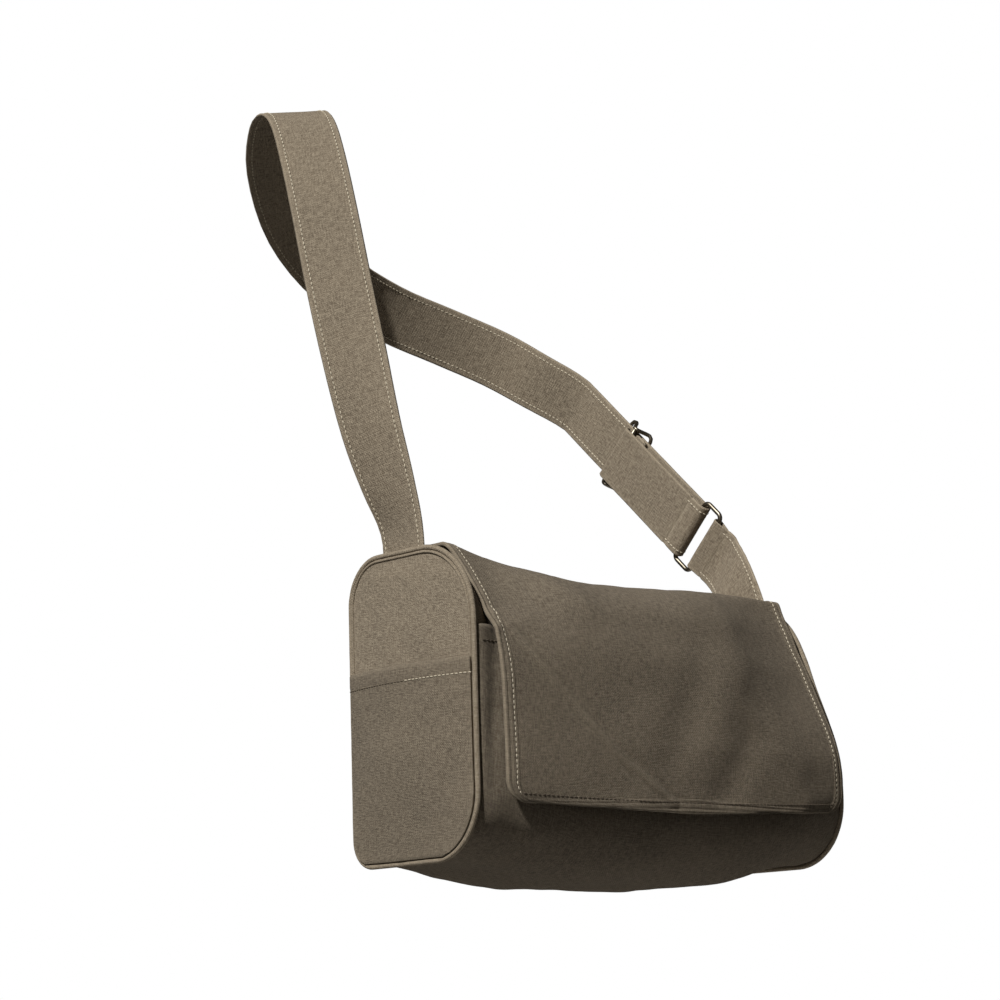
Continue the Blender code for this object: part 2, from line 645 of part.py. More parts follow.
def make_strap(finish):
    along, normal, _ = hardware_frame()
    layer = STRAP_THICKNESS
    centres = catmull([Vector(point) for point, _ in STRAP_ROUTE], 4)
    normals = catmull([Vector(facing) for _, facing in STRAP_ROUTE], 4)
    run_start = at_hardware(STRAIGHT_RUN, RUN_LEVEL)
    joining = catmull([centres[-9], centres[-5], centres[-1], run_start, at_hardware(0.13, RUN_LEVEL)], 4)
    centres += joining[9:12] + [run_start, at_hardware(0.09, RUN_LEVEL), at_hardware(0.004, RUN_LEVEL)]
    normals += [normals[-1].lerp(normal, share) for share in (0.3, 0.55, 0.8)] + [normal] * 3
    turn_level = (RUN_LEVEL + RETURN_LEVEL) / 2
    turn_radius = (RUN_LEVEL - RETURN_LEVEL) / 2
    points, facing = arc(0.0, turn_level, turn_radius, 90, 270, 8)
    centres += points
    normals += facing
    centres.append(at_hardware(0.012, RETURN_LEVEL))
    normals.append(-normal)
    add_node("strap_long", ribbon(centres, normals, STRAP_WIDTH, layer), finish["canvas"], ORIGIN)

    points, facing = arc(ADJUSTER_AT, 0.0, -RETURN_LEVEL, -90, 90, 8)
    centres = [at_hardware(0.0124, RETURN_LEVEL), at_hardware(0.055, RETURN_LEVEL), *points,
               at_hardware(ADJUSTER_AT - 0.016, -RETURN_LEVEL)]
    normals = [-normal, -normal, *facing, normal]
    add_node("strap_return", ribbon(centres, normals, STRAP_WIDTH, layer), finish["canvas"], ORIGIN)

    path = frame_rod(RING_LENGTH / 2, RING_HALF_WIDTH, 0.005, lambda s: turn_level)
    path = [at_hardware(s - RING_LENGTH / 2, n, w) for s, n, w in path]
    add_node("strap_ring", tube(path, RING_ROD, 8, closed=True, up=normal), finish["metal"], ORIGIN,
             smooth_angle=50)

    tab_layer = STRAP_THICKNESS / 2
    loop_radius = RING_ROD + 0.0010 + tab_layer / 2
    merge = -RING_LENGTH - 0.012
    route = [Vector(point) for point, _ in TAB_ROUTE] + [at_hardware(merge - 0.014, turn_level),
                                                         at_hardware(merge, turn_level)]
    facing = [Vector(n) for _, n in TAB_ROUTE] + [normal, normal]
    tab = add_node("strap_tab", ribbon(catmull(route, 4), catmull(facing, 4), STRAP_WIDTH, layer),
                   finish["canvas"], ORIGIN)
    points, turned = arc(-RING_LENGTH, turn_level, loop_radius, -100, 100, 8)
    start = at_hardware(merge - 0.002, turn_level - tab_layer / 2)
    end = at_hardware(merge - 0.002, turn_level + tab_layer / 2)
    loop = ribbon([start, *points, end], [-normal, *turned, normal], STRAP_WIDTH, tab_layer)
    union(tab, loop, "tab_loop")


def make_adjuster(finish):
    """Arched three-bar slide: the strap runs under its end bars and over its middle bar."""
    _, normal, _ = hardware_frame()

    def level(s):
        return ADJUSTER_RISE * smooth(abs(s) / (ADJUSTER_HALF - 0.003))

    half_w = RING_HALF_WIDTH
    corner = 0.004
    path = []
    for side in (1, -1):
        end = -side
        steps = [side * mix(ADJUSTER_HALF - corner, corner - ADJUSTER_HALF, k / 6) for k in range(7)]
        path += [(s, level(s), side * half_w) for s in steps]
        path += [(end * (ADJUSTER_HALF - 0.0012), ADJUSTER_RISE, side * (half_w - 0.0012)),
                 (end * ADJUSTER_HALF, ADJUSTER_RISE, side * (half_w - corner)),
                 (end * ADJUSTER_HALF, ADJUSTER_RISE, -side * (half_w - corner)),
                 (end * (ADJUSTER_HALF - 0.0012), ADJUSTER_RISE, -side * (half_w - 0.0012))]
    path = [at_hardware(ADJUSTER_AT + s, n, w) for s, n, w in path]
    pivot = at_hardware(ADJUSTER_AT, 0.0)
    slide = add_node("strap_adjuster", tube(path, ADJUSTER_ROD, 8, closed=True, up=normal), finish["metal"],
                     pivot, smooth_angle=50)
    bar = [at_hardware(ADJUSTER_AT, 0.0, side * half_w) for side in (-1, 1)]
    union(slide, tube(bar, ADJUSTER_ROD - 0.0001, 8, up=normal), "adjuster_bar")


def main():
    for existing in list(bpy.data.objects):
        bpy.data.objects.remove(existing, do_unlink=True)
    finish = make_materials()
    make_shell(finish)
    make_ends(finish)
    make_top_ends(finish)
    make_lining(finish)
    make_mouth(finish)
    make_slider(finish)
    make_flap(finish)
    make_strap(finish)
    make_adjuster(finish)


main()
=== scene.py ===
import math

import bmesh
import bpy
import numpy as np
from mathutils import Matrix, Vector, noise


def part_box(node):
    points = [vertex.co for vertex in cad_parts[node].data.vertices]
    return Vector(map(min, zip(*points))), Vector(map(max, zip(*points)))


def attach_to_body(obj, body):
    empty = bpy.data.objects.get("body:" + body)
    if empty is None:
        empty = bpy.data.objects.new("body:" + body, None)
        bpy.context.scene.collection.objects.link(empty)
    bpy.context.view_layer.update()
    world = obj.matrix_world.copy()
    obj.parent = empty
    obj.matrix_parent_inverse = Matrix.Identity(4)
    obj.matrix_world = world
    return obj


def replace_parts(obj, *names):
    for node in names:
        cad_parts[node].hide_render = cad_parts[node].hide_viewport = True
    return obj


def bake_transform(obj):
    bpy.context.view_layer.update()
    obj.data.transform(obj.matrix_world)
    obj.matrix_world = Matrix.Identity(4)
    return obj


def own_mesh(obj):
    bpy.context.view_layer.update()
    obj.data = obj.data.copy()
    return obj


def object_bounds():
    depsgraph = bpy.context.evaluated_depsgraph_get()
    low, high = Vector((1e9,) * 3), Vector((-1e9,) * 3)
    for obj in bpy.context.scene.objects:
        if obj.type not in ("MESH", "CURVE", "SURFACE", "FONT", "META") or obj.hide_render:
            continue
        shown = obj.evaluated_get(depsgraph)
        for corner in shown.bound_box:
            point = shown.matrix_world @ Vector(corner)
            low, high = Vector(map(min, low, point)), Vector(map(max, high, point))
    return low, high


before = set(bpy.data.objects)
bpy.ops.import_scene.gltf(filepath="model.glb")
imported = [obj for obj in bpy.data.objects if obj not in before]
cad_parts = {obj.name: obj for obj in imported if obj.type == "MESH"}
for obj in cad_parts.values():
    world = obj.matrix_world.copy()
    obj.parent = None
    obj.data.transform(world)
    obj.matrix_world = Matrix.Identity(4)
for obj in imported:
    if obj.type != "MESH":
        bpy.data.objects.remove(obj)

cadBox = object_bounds()

# Colours are linear. Lengths are in metres.
canvasLook = {"colour": (0.262, 0.207, 0.146), "pale": (0.470, 0.395, 0.290), "roughness": 0.90,
              "threadPitch": 0.00105, "weaveHeight": 0.00035, "blotch": 0.42, "fleck": 0.50}
liningLook = {"colour": (0.110, 0.094, 0.074), "pale": (0.170, 0.150, 0.120), "roughness": 0.80,
              "threadPitch": 0.0007, "weaveHeight": 0.00008, "blotch": 0.10, "fleck": 0.10}
tapeLook = {"colour": (0.060, 0.050, 0.040), "pale": (0.110, 0.095, 0.075), "roughness": 0.75,
            "threadPitch": 0.0006, "weaveHeight": 0.00008, "blotch": 0.06, "fleck": 0.15}
threadLook = {"pale": (0.78, 0.70, 0.54), "dark": (0.15, 0.12, 0.085)}
metalLook = {"colour": (0.36, 0.32, 0.25), "roughness": 0.36}
stitchLook = {"pitch": 0.0040, "length": 0.0030, "radius": 0.00052, "inset": 0.0040}
teethLook = {"pitch": 0.0016, "size": (0.0008, 0.0021, 0.0022)}
clothShape = {"step": 0.0032, "canvas": 0.0016, "flap": 0.0034, "strap": 0.0026, "lining": 0.0008}
flapShape = {"hemHeight": 0.0560, "hemSag": 0.0045, "corner": 0.017, "hemWidth": 0.0072}
lightLook = {"keyStrength": 3.6, "keyFrom": (-0.67, -0.24, 0.62), "keyAngle": 3.5, "world": 0.040,
             "worldColour": (1.0, 0.90, 0.78), "fillEnergy": 1.1}
cameraShot = {"azimuth": -39.4, "elevation": -9.7, "roll": -1.6, "distance": 2.5, "lens": 114.4,
              "target": (-0.098, 0.0, 0.302)}
floorDrop = 0.80

# The bag's own frame has z = 0 at its lowest point; datum takes it to the row frame
datum = Vector(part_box("end_panel_left")[0]) - Vector((-0.190, -0.075, 0.018))
halfWidth, topLeft, topMiddle, topRight = 0.190, 0.2535, 0.2265, 0.2335
endBase, flatBase = 0.018, 0.060
frontTop, backTop, backBottom, frontBottom = 0.060, 0.035, 0.020, 0.050
mouthFront, mouthBack, mouthLeft, mouthRight = -0.0125, 0.0395, -0.150, 0.168
zipY, zipZ = 0.0125, 0.2255
pocketMouth, sidePocketTop = 0.199, 0.165


def smooth(value):
    value = min(max(value, 0.0), 1.0)
    return value * value * (3 - 2 * value)


def mix(a, b, share):
    return a + (b - a) * share


def span(low, high, step):
    count = max(2, int(round(abs(high - low) / step)) + 1)
    return [float(v) for v in np.linspace(low, high, count)]


def topHeight(x):
    if x < mouthLeft:
        return mix(topMiddle, topLeft, smooth((mouthLeft - 0.012 - x) / 0.024))
    return mix(topMiddle, topRight, smooth((x - 0.181) / 0.007))


def baseHeight(x):
    return endBase * smooth((abs(x) - flatBase) / (0.188 - flatBase))


def bulge(x, z):
    across = max(0.0, 1 - (x / 0.188) ** 2) ** 0.6
    height = mix(1.0, 0.5, (z - 0.100) / (pocketMouth - 0.100)) if z > 0.100 else 1.0
    return 0.022 * across * height


def settle(x, y, z, endToo=True):
    # the right part of the front leans back, and past the mouth the end's top corner goes with it
    reach = mix(mouthFront, 0.011, smooth((x - 0.170) / 0.009)) if endToo else mouthFront
    share = smooth((x - 0.03) / 0.14) * smooth((z - 0.085) / 0.12) * smooth((reach - y) / 0.063)
    return (x, y + 0.036 * share, z)


def outline(x, side, at, off=0.0, puffed=False):
    top, base = topHeight(x), baseHeight(x)
    if side == "front":
        over = max(0.0, at - (top - frontTop))
        y = -0.075 + frontTop - math.sqrt(max(0.0, (frontTop + off) ** 2 - over ** 2))
        return y - (bulge(x, at) if puffed else 0.0), at
    if side == "back":
        return 0.075 + off, at
    if side == "top":
        return at, top + off
    if side == "bottom":
        return at, base - off
    angle = math.radians(at)
    radius = {"frontTop": frontTop, "backTop": backTop, "backBottom": backBottom, "frontBottom": frontBottom}[side]
    puff = bulge(x, base + radius) if puffed and side == "frontBottom" else 0.0
    wide = radius + off + puff
    toward = -1 if "front" in side else 1
    rise = 1 if "Top" in side else -1
    level = top - radius if rise > 0 else base + radius
    return toward * (0.075 - radius + wide * math.cos(angle)), level + rise * (radius + off) * math.sin(angle)


def mouthHeight(x):
    return pocketMouth - 0.010 * smooth((-0.130 - x) / 0.040)


def bodyFront(x, z):
    # outer face of the body's front at a height, before it is settled
    if z <= mouthHeight(x) + 0.001:
        return outline(x, "front", z, 0.0, True)[0]
    over = max(0.0, z - (topHeight(x) - frontTop))
    return -0.015 - math.sqrt(max(0.0, (frontTop - 0.0026) ** 2 - over ** 2))


def ripple(point, scale, seed):
    # smooth noise from -1 to 1
    return noise.noise(Vector(point) / scale + Vector((seed * 7.3, seed * 3.1, seed * 1.7)))


# Materials


def addNode(tree, kind, **inputs):
    node = tree.nodes.new(kind)
    for key, value in inputs.items():
        node.inputs[key].default_value = value
    return node


def mathNode(tree, operation, a, b=None, c=None):
    node = tree.nodes.new("ShaderNodeMath")
    node.operation = operation
    for index, value in enumerate((a, b, c)):
        if value is None:
            continue
        if isinstance(value, (int, float)):
            node.inputs[index].default_value = value
        else:
            tree.links.new(value, node.inputs[index])
    return node.outputs[0]


def noiseAt(tree, where, **inputs):
    node = addNode(tree, "ShaderNodeTexNoise", **inputs)
    tree.links.new(where, node.inputs["Vector"])
    return node


def clamped(tree, value, socket):
    node = tree.nodes.new("ShaderNodeClamp")
    tree.links.new(value, node.inputs["Value"])
    tree.links.new(node.outputs[0], socket)


def bumped(tree, shader, height, strength, distance):
    node = addNode(tree, "ShaderNodeBump", Strength=strength, Distance=distance)
    tree.links.new(height, node.inputs["Height"])
    tree.links.new(node.outputs[0], shader.inputs["Normal"])


def mixColour(tree, share, a, b, blend="MIX"):
    node = tree.nodes.new("ShaderNodeMix")
    node.data_type = "RGBA"
    node.blend_type = blend
    for socket, value in ((node.inputs[0], share), (node.inputs[6], a), (node.inputs[7], b)):
        if isinstance(value, (int, float)):
            socket.default_value = value
        elif isinstance(value, tuple):
            socket.default_value = (*value, 1.0)
        else:
            tree.links.new(value, socket)
    return node.outputs[2]


def makeWeaveGroup():
    # plain weave over a coordinate in metres: the height of the threads and their light and dark flecks
    group = bpy.data.node_groups.new("plainWeave", "ShaderNodeTree")
    coordinate = group.interface.new_socket("Coordinate", in_out="INPUT", socket_type="NodeSocketVector")
    pitch = group.interface.new_socket("Pitch", in_out="INPUT", socket_type="NodeSocketFloat")
    pitch.default_value = 0.001
    for name in ("Height", "Fleck", "Blotch"):
        group.interface.new_socket(name, in_out="OUTPUT", socket_type="NodeSocketFloat")
    source = group.nodes.new("NodeGroupInput")
    target = group.nodes.new("NodeGroupOutput")
    where, pitchOut = source.outputs[coordinate.name], source.outputs[pitch.name]

    wobble = noiseAt(group, where, Scale=260.0, Detail=2.0)
    shake = group.nodes.new("ShaderNodeVectorMath")
    shake.operation = "MULTIPLY_ADD"
    group.links.new(wobble.outputs["Color"], shake.inputs[0])
    shake.inputs[1].default_value = (0.0007, 0.0007, 0.0)
    group.links.new(where, shake.inputs[2])
    split = group.nodes.new("ShaderNodeSeparateXYZ")
    group.links.new(shake.outputs[0], split.inputs[0])
    turns = [mathNode(group, "DIVIDE", split.outputs[i], pitchOut) for i in (0, 1)]
    waves = [mathNode(group, "ABSOLUTE", mathNode(group, "SINE", mathNode(group, "MULTIPLY", t, math.pi)))
             for t in turns]
    cells = [mathNode(group, "FLOOR", t) for t in turns]
    parity = mathNode(group, "MODULO", mathNode(group, "ABSOLUTE", mathNode(group, "ADD", cells[0], cells[1])), 2.0)
    other = mathNode(group, "SUBTRACT", 1.0, parity)
    height = mathNode(group, "ADD", mathNode(group, "MULTIPLY", waves[0], parity),
                      mathNode(group, "MULTIPLY", waves[1], other))
    group.links.new(height, target.inputs["Height"])

    threads = []
    for stretch in ((900.0, 170.0, 300.0), (170.0, 900.0, 300.0)):
        scaled = group.nodes.new("ShaderNodeVectorMath")
        scaled.operation = "MULTIPLY"
        group.links.new(where, scaled.inputs[0])
        scaled.inputs[1].default_value = stretch
        grain = noiseAt(group, scaled.outputs[0], Scale=1.0, Detail=2.0, Roughness=0.6)
        threads.append(grain.outputs["Fac"])
    fleck = mathNode(group, "MULTIPLY_ADD", mathNode(group, "ADD", threads[0], threads[1]), 2.2, -1.7)
    clamped(group, fleck, target.inputs["Fleck"])

    broad = noiseAt(group, where, Scale=17.0, Detail=6.0, Roughness=0.62)
    ramp = mathNode(group, "MULTIPLY_ADD", broad.outputs["Fac"], 3.2, -1.1)
    clamped(group, ramp, target.inputs["Blotch"])
    return group


def newShader(name):
    material = bpy.data.materials.new(name)
    material.use_nodes = True
    return material, material.node_tree, material.node_tree.nodes["Principled BSDF"]


def clothMaterial(name, look, weave, tint=1.0):
    material, tree, shader = newShader(name)
    place = tree.nodes.new("ShaderNodeUVMap")
    place.uv_map = "cloth"
    group = tree.nodes.new("ShaderNodeGroup")
    group.node_tree = weave
    group.inputs["Pitch"].default_value = look["threadPitch"]
    tree.links.new(place.outputs[0], group.inputs["Coordinate"])
    base = tuple(c * tint for c in look["colour"])
    dark = tuple(c * tint * 0.66 for c in look["colour"])
    pale = tuple(c * tint for c in look["pale"])
    wear = tree.nodes.new("ShaderNodeAttribute")
    wear.attribute_name = "wear"
    colour = mixColour(tree, mathNode(tree, "MULTIPLY", mathNode(tree, "SUBTRACT", 1.0, group.outputs["Blotch"]),
                                      look["blotch"] * 2.0), base, dark)
    colour = mixColour(tree, mathNode(tree, "MULTIPLY", group.outputs["Fleck"], look["fleck"] * 2.0), colour, pale)
    # painted shade: the colour is darkened in the low gaps between the threads
    gapShade = mathNode(tree, "MULTIPLY", mathNode(tree, "SUBTRACT", 1.0, group.outputs["Height"]), look["fleck"] * 1.3)
    colour = mixColour(tree, gapShade, colour, dark)
    # the attribute read here lightens the colour towards pale: edge wear, and also painted highlight on the flap's
    # crease and on the end piping
    paleMarkNoise = noiseAt(tree, place.outputs[0], Scale=95.0, Detail=5.0, Roughness=0.7)
    wearAndHighlightShare = mathNode(tree, "MULTIPLY", wear.outputs["Fac"],
                      mathNode(tree, "MULTIPLY_ADD", paleMarkNoise.outputs["Fac"], 1.3, -0.1))
    colour = mixColour(tree, wearAndHighlightShare, colour, pale)
    tree.links.new(colour, shader.inputs["Base Color"])
    tree.links.new(mathNode(tree, "MULTIPLY_ADD", group.outputs["Blotch"], 0.08, look["roughness"] - 0.04),
                   shader.inputs["Roughness"])
    shader.inputs["Sheen Weight"].default_value = 0.05
    shader.inputs["Sheen Roughness"].default_value = 0.6
    shader.inputs["Specular IOR Level"].default_value = 0.25
    total = mathNode(tree, "ADD", group.outputs["Height"], mathNode(tree, "MULTIPLY", group.outputs["Fleck"], 0.8))
    bumped(tree, shader, total, 0.9, look["weaveHeight"])
    return material


def threadMaterial(name, colour):
    material, tree, shader = newShader(name)
    place = tree.nodes.new("ShaderNodeTexCoord")
    twist = noiseAt(tree, place.outputs["Object"], Scale=900.0, Detail=2.0)
    tree.links.new(mixColour(tree, twist.outputs["Fac"], tuple(c * 0.75 for c in colour), colour),
                   shader.inputs["Base Color"])
    shader.inputs["Roughness"].default_value = 0.7
    bumped(tree, shader, twist.outputs["Fac"], 0.5, 0.0001)
    return material


def metalMaterial(name, look):
    material, tree, shader = newShader(name)
    place = tree.nodes.new("ShaderNodeTexCoord")
    tarnish = noiseAt(tree, place.outputs["Object"], Scale=160.0, Detail=5.0)
    dark = tuple(c * 0.45 for c in look["colour"])
    tree.links.new(mixColour(tree, tarnish.outputs["Fac"], dark, look["colour"]), shader.inputs["Base Color"])
    tree.links.new(mathNode(tree, "MULTIPLY_ADD", tarnish.outputs["Fac"], 0.25, look["roughness"] - 0.1),
                   shader.inputs["Roughness"])
    shader.inputs["Metallic"].default_value = 1.0
    bumped(tree, shader, tarnish.outputs["Fac"], 0.3, 0.0001)
    return material


def plainMaterial(name, colour, roughness):
    material, _, shader = newShader(name)
    shader.inputs["Base Color"].default_value = (*colour, 1.0)
    shader.inputs["Roughness"].default_value = roughness
    return material


# Mesh building


def normalsOf(grid):
    down = np.gradient(grid, axis=0)
    across = np.gradient(grid, axis=1)
    normal = np.cross(down, across)
    return normal / np.maximum(np.linalg.norm(normal, axis=2, keepdims=True), 1e-12)


def lengthsAlong(grid, axis):
    steps = np.linalg.norm(np.diff(grid, axis=axis), axis=2)
    zero = np.zeros((1, steps.shape[1])) if axis == 0 else np.zeros((steps.shape[0], 1))
    return np.concatenate([zero, np.cumsum(steps, axis=axis)], axis=axis)


def meshPiece(name, vertices, faces, places, worn, materials, slots=None):
    # an object with its faces turned outwards, the cloth's UV map and its pale marks: edge wear and painted highlight
    mesh = bpy.data.meshes.new(name)
    mesh.from_pydata(vertices, [], faces)
    layer = mesh.uv_layers.new(name="cloth")
    layer.data.foreach_set("uv", np.array(places, np.float32).reshape(-1))
    attribute = mesh.attributes.new("wear", "FLOAT", "POINT")
    attribute.data.foreach_set("value", worn.astype(np.float32))
    for material in materials:
        mesh.materials.append(material)
    if slots:
        mesh.polygons.foreach_set("material_index", slots)
    turned = bmesh.new()
    turned.from_mesh(mesh)
    bmesh.ops.recalc_face_normals(turned, faces=turned.faces)
    turned.to_mesh(mesh)
    turned.free()
    mesh.shade_smooth()
    piece = bpy.data.objects.new(name, mesh)
    bpy.context.scene.collection.objects.link(piece)
    return piece


def attach(piece, slot, body, *nodes):
    # gives a piece its body, and says which nodes it stands for
    if nodes:
        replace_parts(piece, *nodes)
    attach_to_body(piece, body)


def clothSheet(name, grid, thickness, material, facing, inside=None, rimWear=0.8, wear=None, relief=None):
    # closed cloth with rolled edges. grid is the outer face in the bag's frame; facing points out of it
    grid = np.array(grid, float)
    normal = normalsOf(grid)
    if float((normal.mean(axis=(0, 1)) * np.array(facing)).sum()) < 0:
        normal = -normal
    if relief is not None:
        grid = grid + normal * relief[..., None]
    inner = grid - normal * (thickness if np.isscalar(thickness) else thickness[..., None])
    rows, columns = grid.shape[:2]
    along, across = lengthsAlong(grid, 0), lengthsAlong(grid, 1)
    edge = np.minimum(np.minimum(along, along[-1:] - along), np.minimum(across, across[:, -1:] - across))
    along = np.repeat(along[:, columns // 2][:, None], columns, axis=1)
    across = across - across[:, columns // 2][:, None]
    worn = rimWear * np.exp(-edge / 0.0016)
    if wear is not None:
        worn = np.maximum(worn, wear)
    border = [(0, j) for j in range(columns)] + [(i, columns - 1) for i in range(1, rows)]
    border += [(rows - 1, j) for j in range(columns - 2, -1, -1)] + [(i, 0) for i in range(rows - 2, 0, -1)]
    points = [grid.reshape(-1, 3), inner.reshape(-1, 3)]
    rim = []
    for i, j in border:
        toI = 1 if i == 0 else rows - 2 if i == rows - 1 else i
        toJ = 1 if j == 0 else columns - 2 if j == columns - 1 else j
        outward = grid[i, j] - grid[toI, toJ]
        outward = outward / max(np.linalg.norm(outward), 1e-9)
        gap = np.linalg.norm(grid[i, j] - inner[i, j])
        rim.append((grid[i, j] + inner[i, j]) / 2 + outward * gap * 0.45)
    points.append(np.array(rim))
    vertices = np.concatenate(points) + np.array(datum)
    size = rows * columns
    faces, places, slots = [], [], []
    uv = np.stack([across, along], axis=2).reshape(-1, 2)

    def index(i, j, side):
        return side * size + i * columns + j

    for side in (0, 1):
        for i in range(rows - 1):
            for j in range(columns - 1):
                quad = [(i, j), (i, j + 1), (i + 1, j + 1), (i + 1, j)]
                faces.append([index(a, b, side) for a, b in quad])
                places.append([uv[a * columns + b] for a, b in quad])
                slots.append(side if inside else 0)
    count = len(border)
    for k in range(count):
        m = (k + 1) % count
        a, b = border[k], border[m]
        for side in (0, 1):
            faces.append([index(*a, side), index(*b, side), 2 * size + m, 2 * size + k])
            here, there = uv[a[0] * columns + a[1]], uv[b[0] * columns + b[1]]
            places.append([here, there, there + 0.0008, here + 0.0008])
            slots.append(0)
    worn = np.concatenate([worn.reshape(-1), worn.reshape(-1), np.full(count, rimWear)])
    materials = [material, inside] if inside else [material]
    return meshPiece(name, vertices.tolist(), faces, places, worn, materials, slots), grid, normal


def tubeMesh(name, path, radius, sides, material, closed=False, up=(0.0, 0.0, 1.0), wear=0.0):
    # round cord along a path in the bag's frame
    path = [Vector(p) for p in path]
    count = len(path)
    vertices, faces, places = [], [], []
    travelled = 0.0
    lengths = []
    for i, point in enumerate(path):
        before = path[i - 1] if closed or i else point
        after = path[(i + 1) % count] if closed or i < count - 1 else point
        along = (after - before).normalized()
        side = along.cross(Vector(up)).normalized()
        rise = side.cross(along)
        lengths.append(travelled)
        travelled += (path[(i + 1) % count] - point).length
        for k in range(sides):
            a = 2 * math.pi * k / sides
            vertices.append(point + datum + radius * (math.cos(a) * side + math.sin(a) * rise))
    for i in range(count if closed else count - 1):
        j = (i + 1) % count
        end = lengths[j] if j else travelled
        for k in range(sides):
            m = (k + 1) % sides
            faces.append([i * sides + k, i * sides + m, j * sides + m, j * sides + k])
            low, high = 2 * math.pi * radius * k / sides, 2 * math.pi * radius * (k + 1) / sides
            places += [(low, lengths[i]), (high, lengths[i]), (high, end), (low, end)]
    if not closed:
        for start in (0, (count - 1) * sides):
            faces.append([start + k for k in range(sides)])
            places += [(0.0, 0.0)] * sides
    worn = np.full(len(vertices), wear)
    return meshPiece(name, [tuple(v) for v in vertices], faces, places, worn, [material])


def refined(node, name, width, material):
    # a CAD node's shape with rounded edges
    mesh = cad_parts[node].data.copy()
    mesh.name = name
    work = bmesh.new()
    work.from_mesh(mesh)
    bmesh.ops.remove_doubles(work, verts=work.verts, dist=1e-6)
    bmesh.ops.dissolve_limit(work, angle_limit=math.radians(2), verts=work.verts, edges=work.edges)
    work.to_mesh(mesh)
    work.free()
    mesh.materials.clear()
    mesh.materials.append(material)
    piece = bpy.data.objects.new(name, mesh)
    bpy.context.scene.collection.objects.link(piece)
    rounding = piece.modifiers.new("rounding", "BEVEL")
    rounding.width = width
    rounding.segments = 2
    rounding.limit_method = "ANGLE"
    rounding.angle_limit = math.radians(35)
    piece.data = plainMesh(piece, name)
    piece.modifiers.clear()
    piece.data.shade_smooth()
    piece.data.set_sharp_from_angle(angle=math.radians(50))
    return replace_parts(piece, node)


def plainMesh(piece, name):
    graph = bpy.context.evaluated_depsgraph_get()
    mesh = bpy.data.meshes.new_from_object(piece.evaluated_get(graph), depsgraph=graph)
    mesh.name = name
    return mesh


# Repeated small parts by Geometry Nodes


def makeRowTree(name, shape):
    # copies of one small solid at even steps along the edges of a mesh
    tree = bpy.data.node_groups.new(name, "GeometryNodeTree")
    for label in ("Geometry", "Pitch", "Width", "Depth", "Length", "Material"):
        kind = label if label in ("Geometry", "Material") else "Float"
        socket = tree.interface.new_socket(label, in_out="INPUT", socket_type=f"NodeSocket{kind}")
        if kind == "Float":
            socket.default_value = 0.001
    tree.interface.new_socket("Geometry", in_out="OUTPUT", socket_type="NodeSocketGeometry")
    source, target, curve, even, size, tangent, turn, place, real, painted = [tree.nodes.new(kind) for kind in (
        "NodeGroupInput", "NodeGroupOutput", "GeometryNodeMeshToCurve", "GeometryNodeResampleCurve",
        "ShaderNodeCombineXYZ", "GeometryNodeInputTangent", "FunctionNodeAlignRotationToVector",
        "GeometryNodeInstanceOnPoints", "GeometryNodeRealizeInstances", "GeometryNodeSetMaterial")]
    even.mode = "LENGTH"
    turn.axis = "Z"
    if shape == "round":
        solid = addNode(tree, "GeometryNodeMeshUVSphere", Segments=6, Rings=5, Radius=1.0)
    else:
        solid = addNode(tree, "GeometryNodeMeshCube", Size=(1.0, 1.0, 1.0))
    for start, out, end, into in (
            (source, "Geometry", curve, 0), (curve, 0, even, "Curve"), (source, "Pitch", even, "Length"),
            (source, "Width", size, "X"), (source, "Depth", size, "Y"), (source, "Length", size, "Z"),
            (tangent, 0, turn, "Vector"), (even, 0, place, "Points"), (solid, 0, place, "Instance"),
            (turn, 0, place, "Rotation"), (size, 0, place, "Scale"), (place, 0, real, 0),
            (real, 0, painted, "Geometry"), (source, "Material", painted, "Material"),
            (painted, 0, target, "Geometry")):
        tree.links.new(start.outputs[out], end.inputs[into])
    return tree


def rowOf(name, paths, tree, values, material, body):
    # runs the tree over several paths, given in the bag's frame, and leaves one plain mesh on the body
    vertices, edges = [], []
    for path in paths:
        first = len(vertices)
        vertices += [tuple(Vector(p) + datum) for p in path]
        edges += [(first + i, first + i + 1) for i in range(len(path) - 1)]
    mesh = bpy.data.meshes.new(name)
    mesh.from_pydata(vertices, edges, [])
    piece = bpy.data.objects.new(name, mesh)
    bpy.context.scene.collection.objects.link(piece)
    modifier = piece.modifiers.new("row", "NODES")
    modifier.node_group = tree
    sockets = {item.name: item.identifier for item in tree.interface.items_tree if item.in_out == "INPUT"}
    for label, value in values.items():
        modifier[sockets[label]] = value
    modifier[sockets["Material"]] = material
    piece.update_tag()
    bpy.context.view_layer.update()
    piece.data = plainMesh(piece, name)
    piece.modifiers.clear()
    piece.data.shade_smooth()
    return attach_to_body(piece, body)


print("materials")
weaveGroup = makeWeaveGroup()
canvas = clothMaterial("canvas", canvasLook, weaveGroup)
canvasInside = clothMaterial("canvasInside", canvasLook, weaveGroup, tint=0.80)
pocketCanvas = clothMaterial("pocketCanvas", canvasLook, weaveGroup, tint=0.72)
# painted shade: the next two materials are darker copies of the canvas, for the shell's lower front under the flap
# and for the flap turned from the key light
frontCanvasPaintedShade = clothMaterial("frontCanvasPaintedShade", canvasLook, weaveGroup, tint=0.58)
flapCanvasPaintedShade = clothMaterial("flapCanvasPaintedShade", canvasLook, weaveGroup, tint=0.74)
liningCloth = clothMaterial("liningCloth", liningLook, weaveGroup)
tapeCloth = clothMaterial("tapeCloth", tapeLook, weaveGroup)
paleThread = threadMaterial("paleThread", threadLook["pale"])
darkThread = threadMaterial("darkThread", threadLook["dark"])
metal = metalMaterial("agedBrass", metalLook)
stitchTree = makeRowTree("stitchRow", "round")
teethTree = makeRowTree("teethRow", "block")
stitchSize = {"Pitch": stitchLook["pitch"], "Width": stitchLook["radius"], "Depth": stitchLook["radius"],
              "Length": stitchLook["length"] / 2}
paleStitches = {}
darkStitches = {}


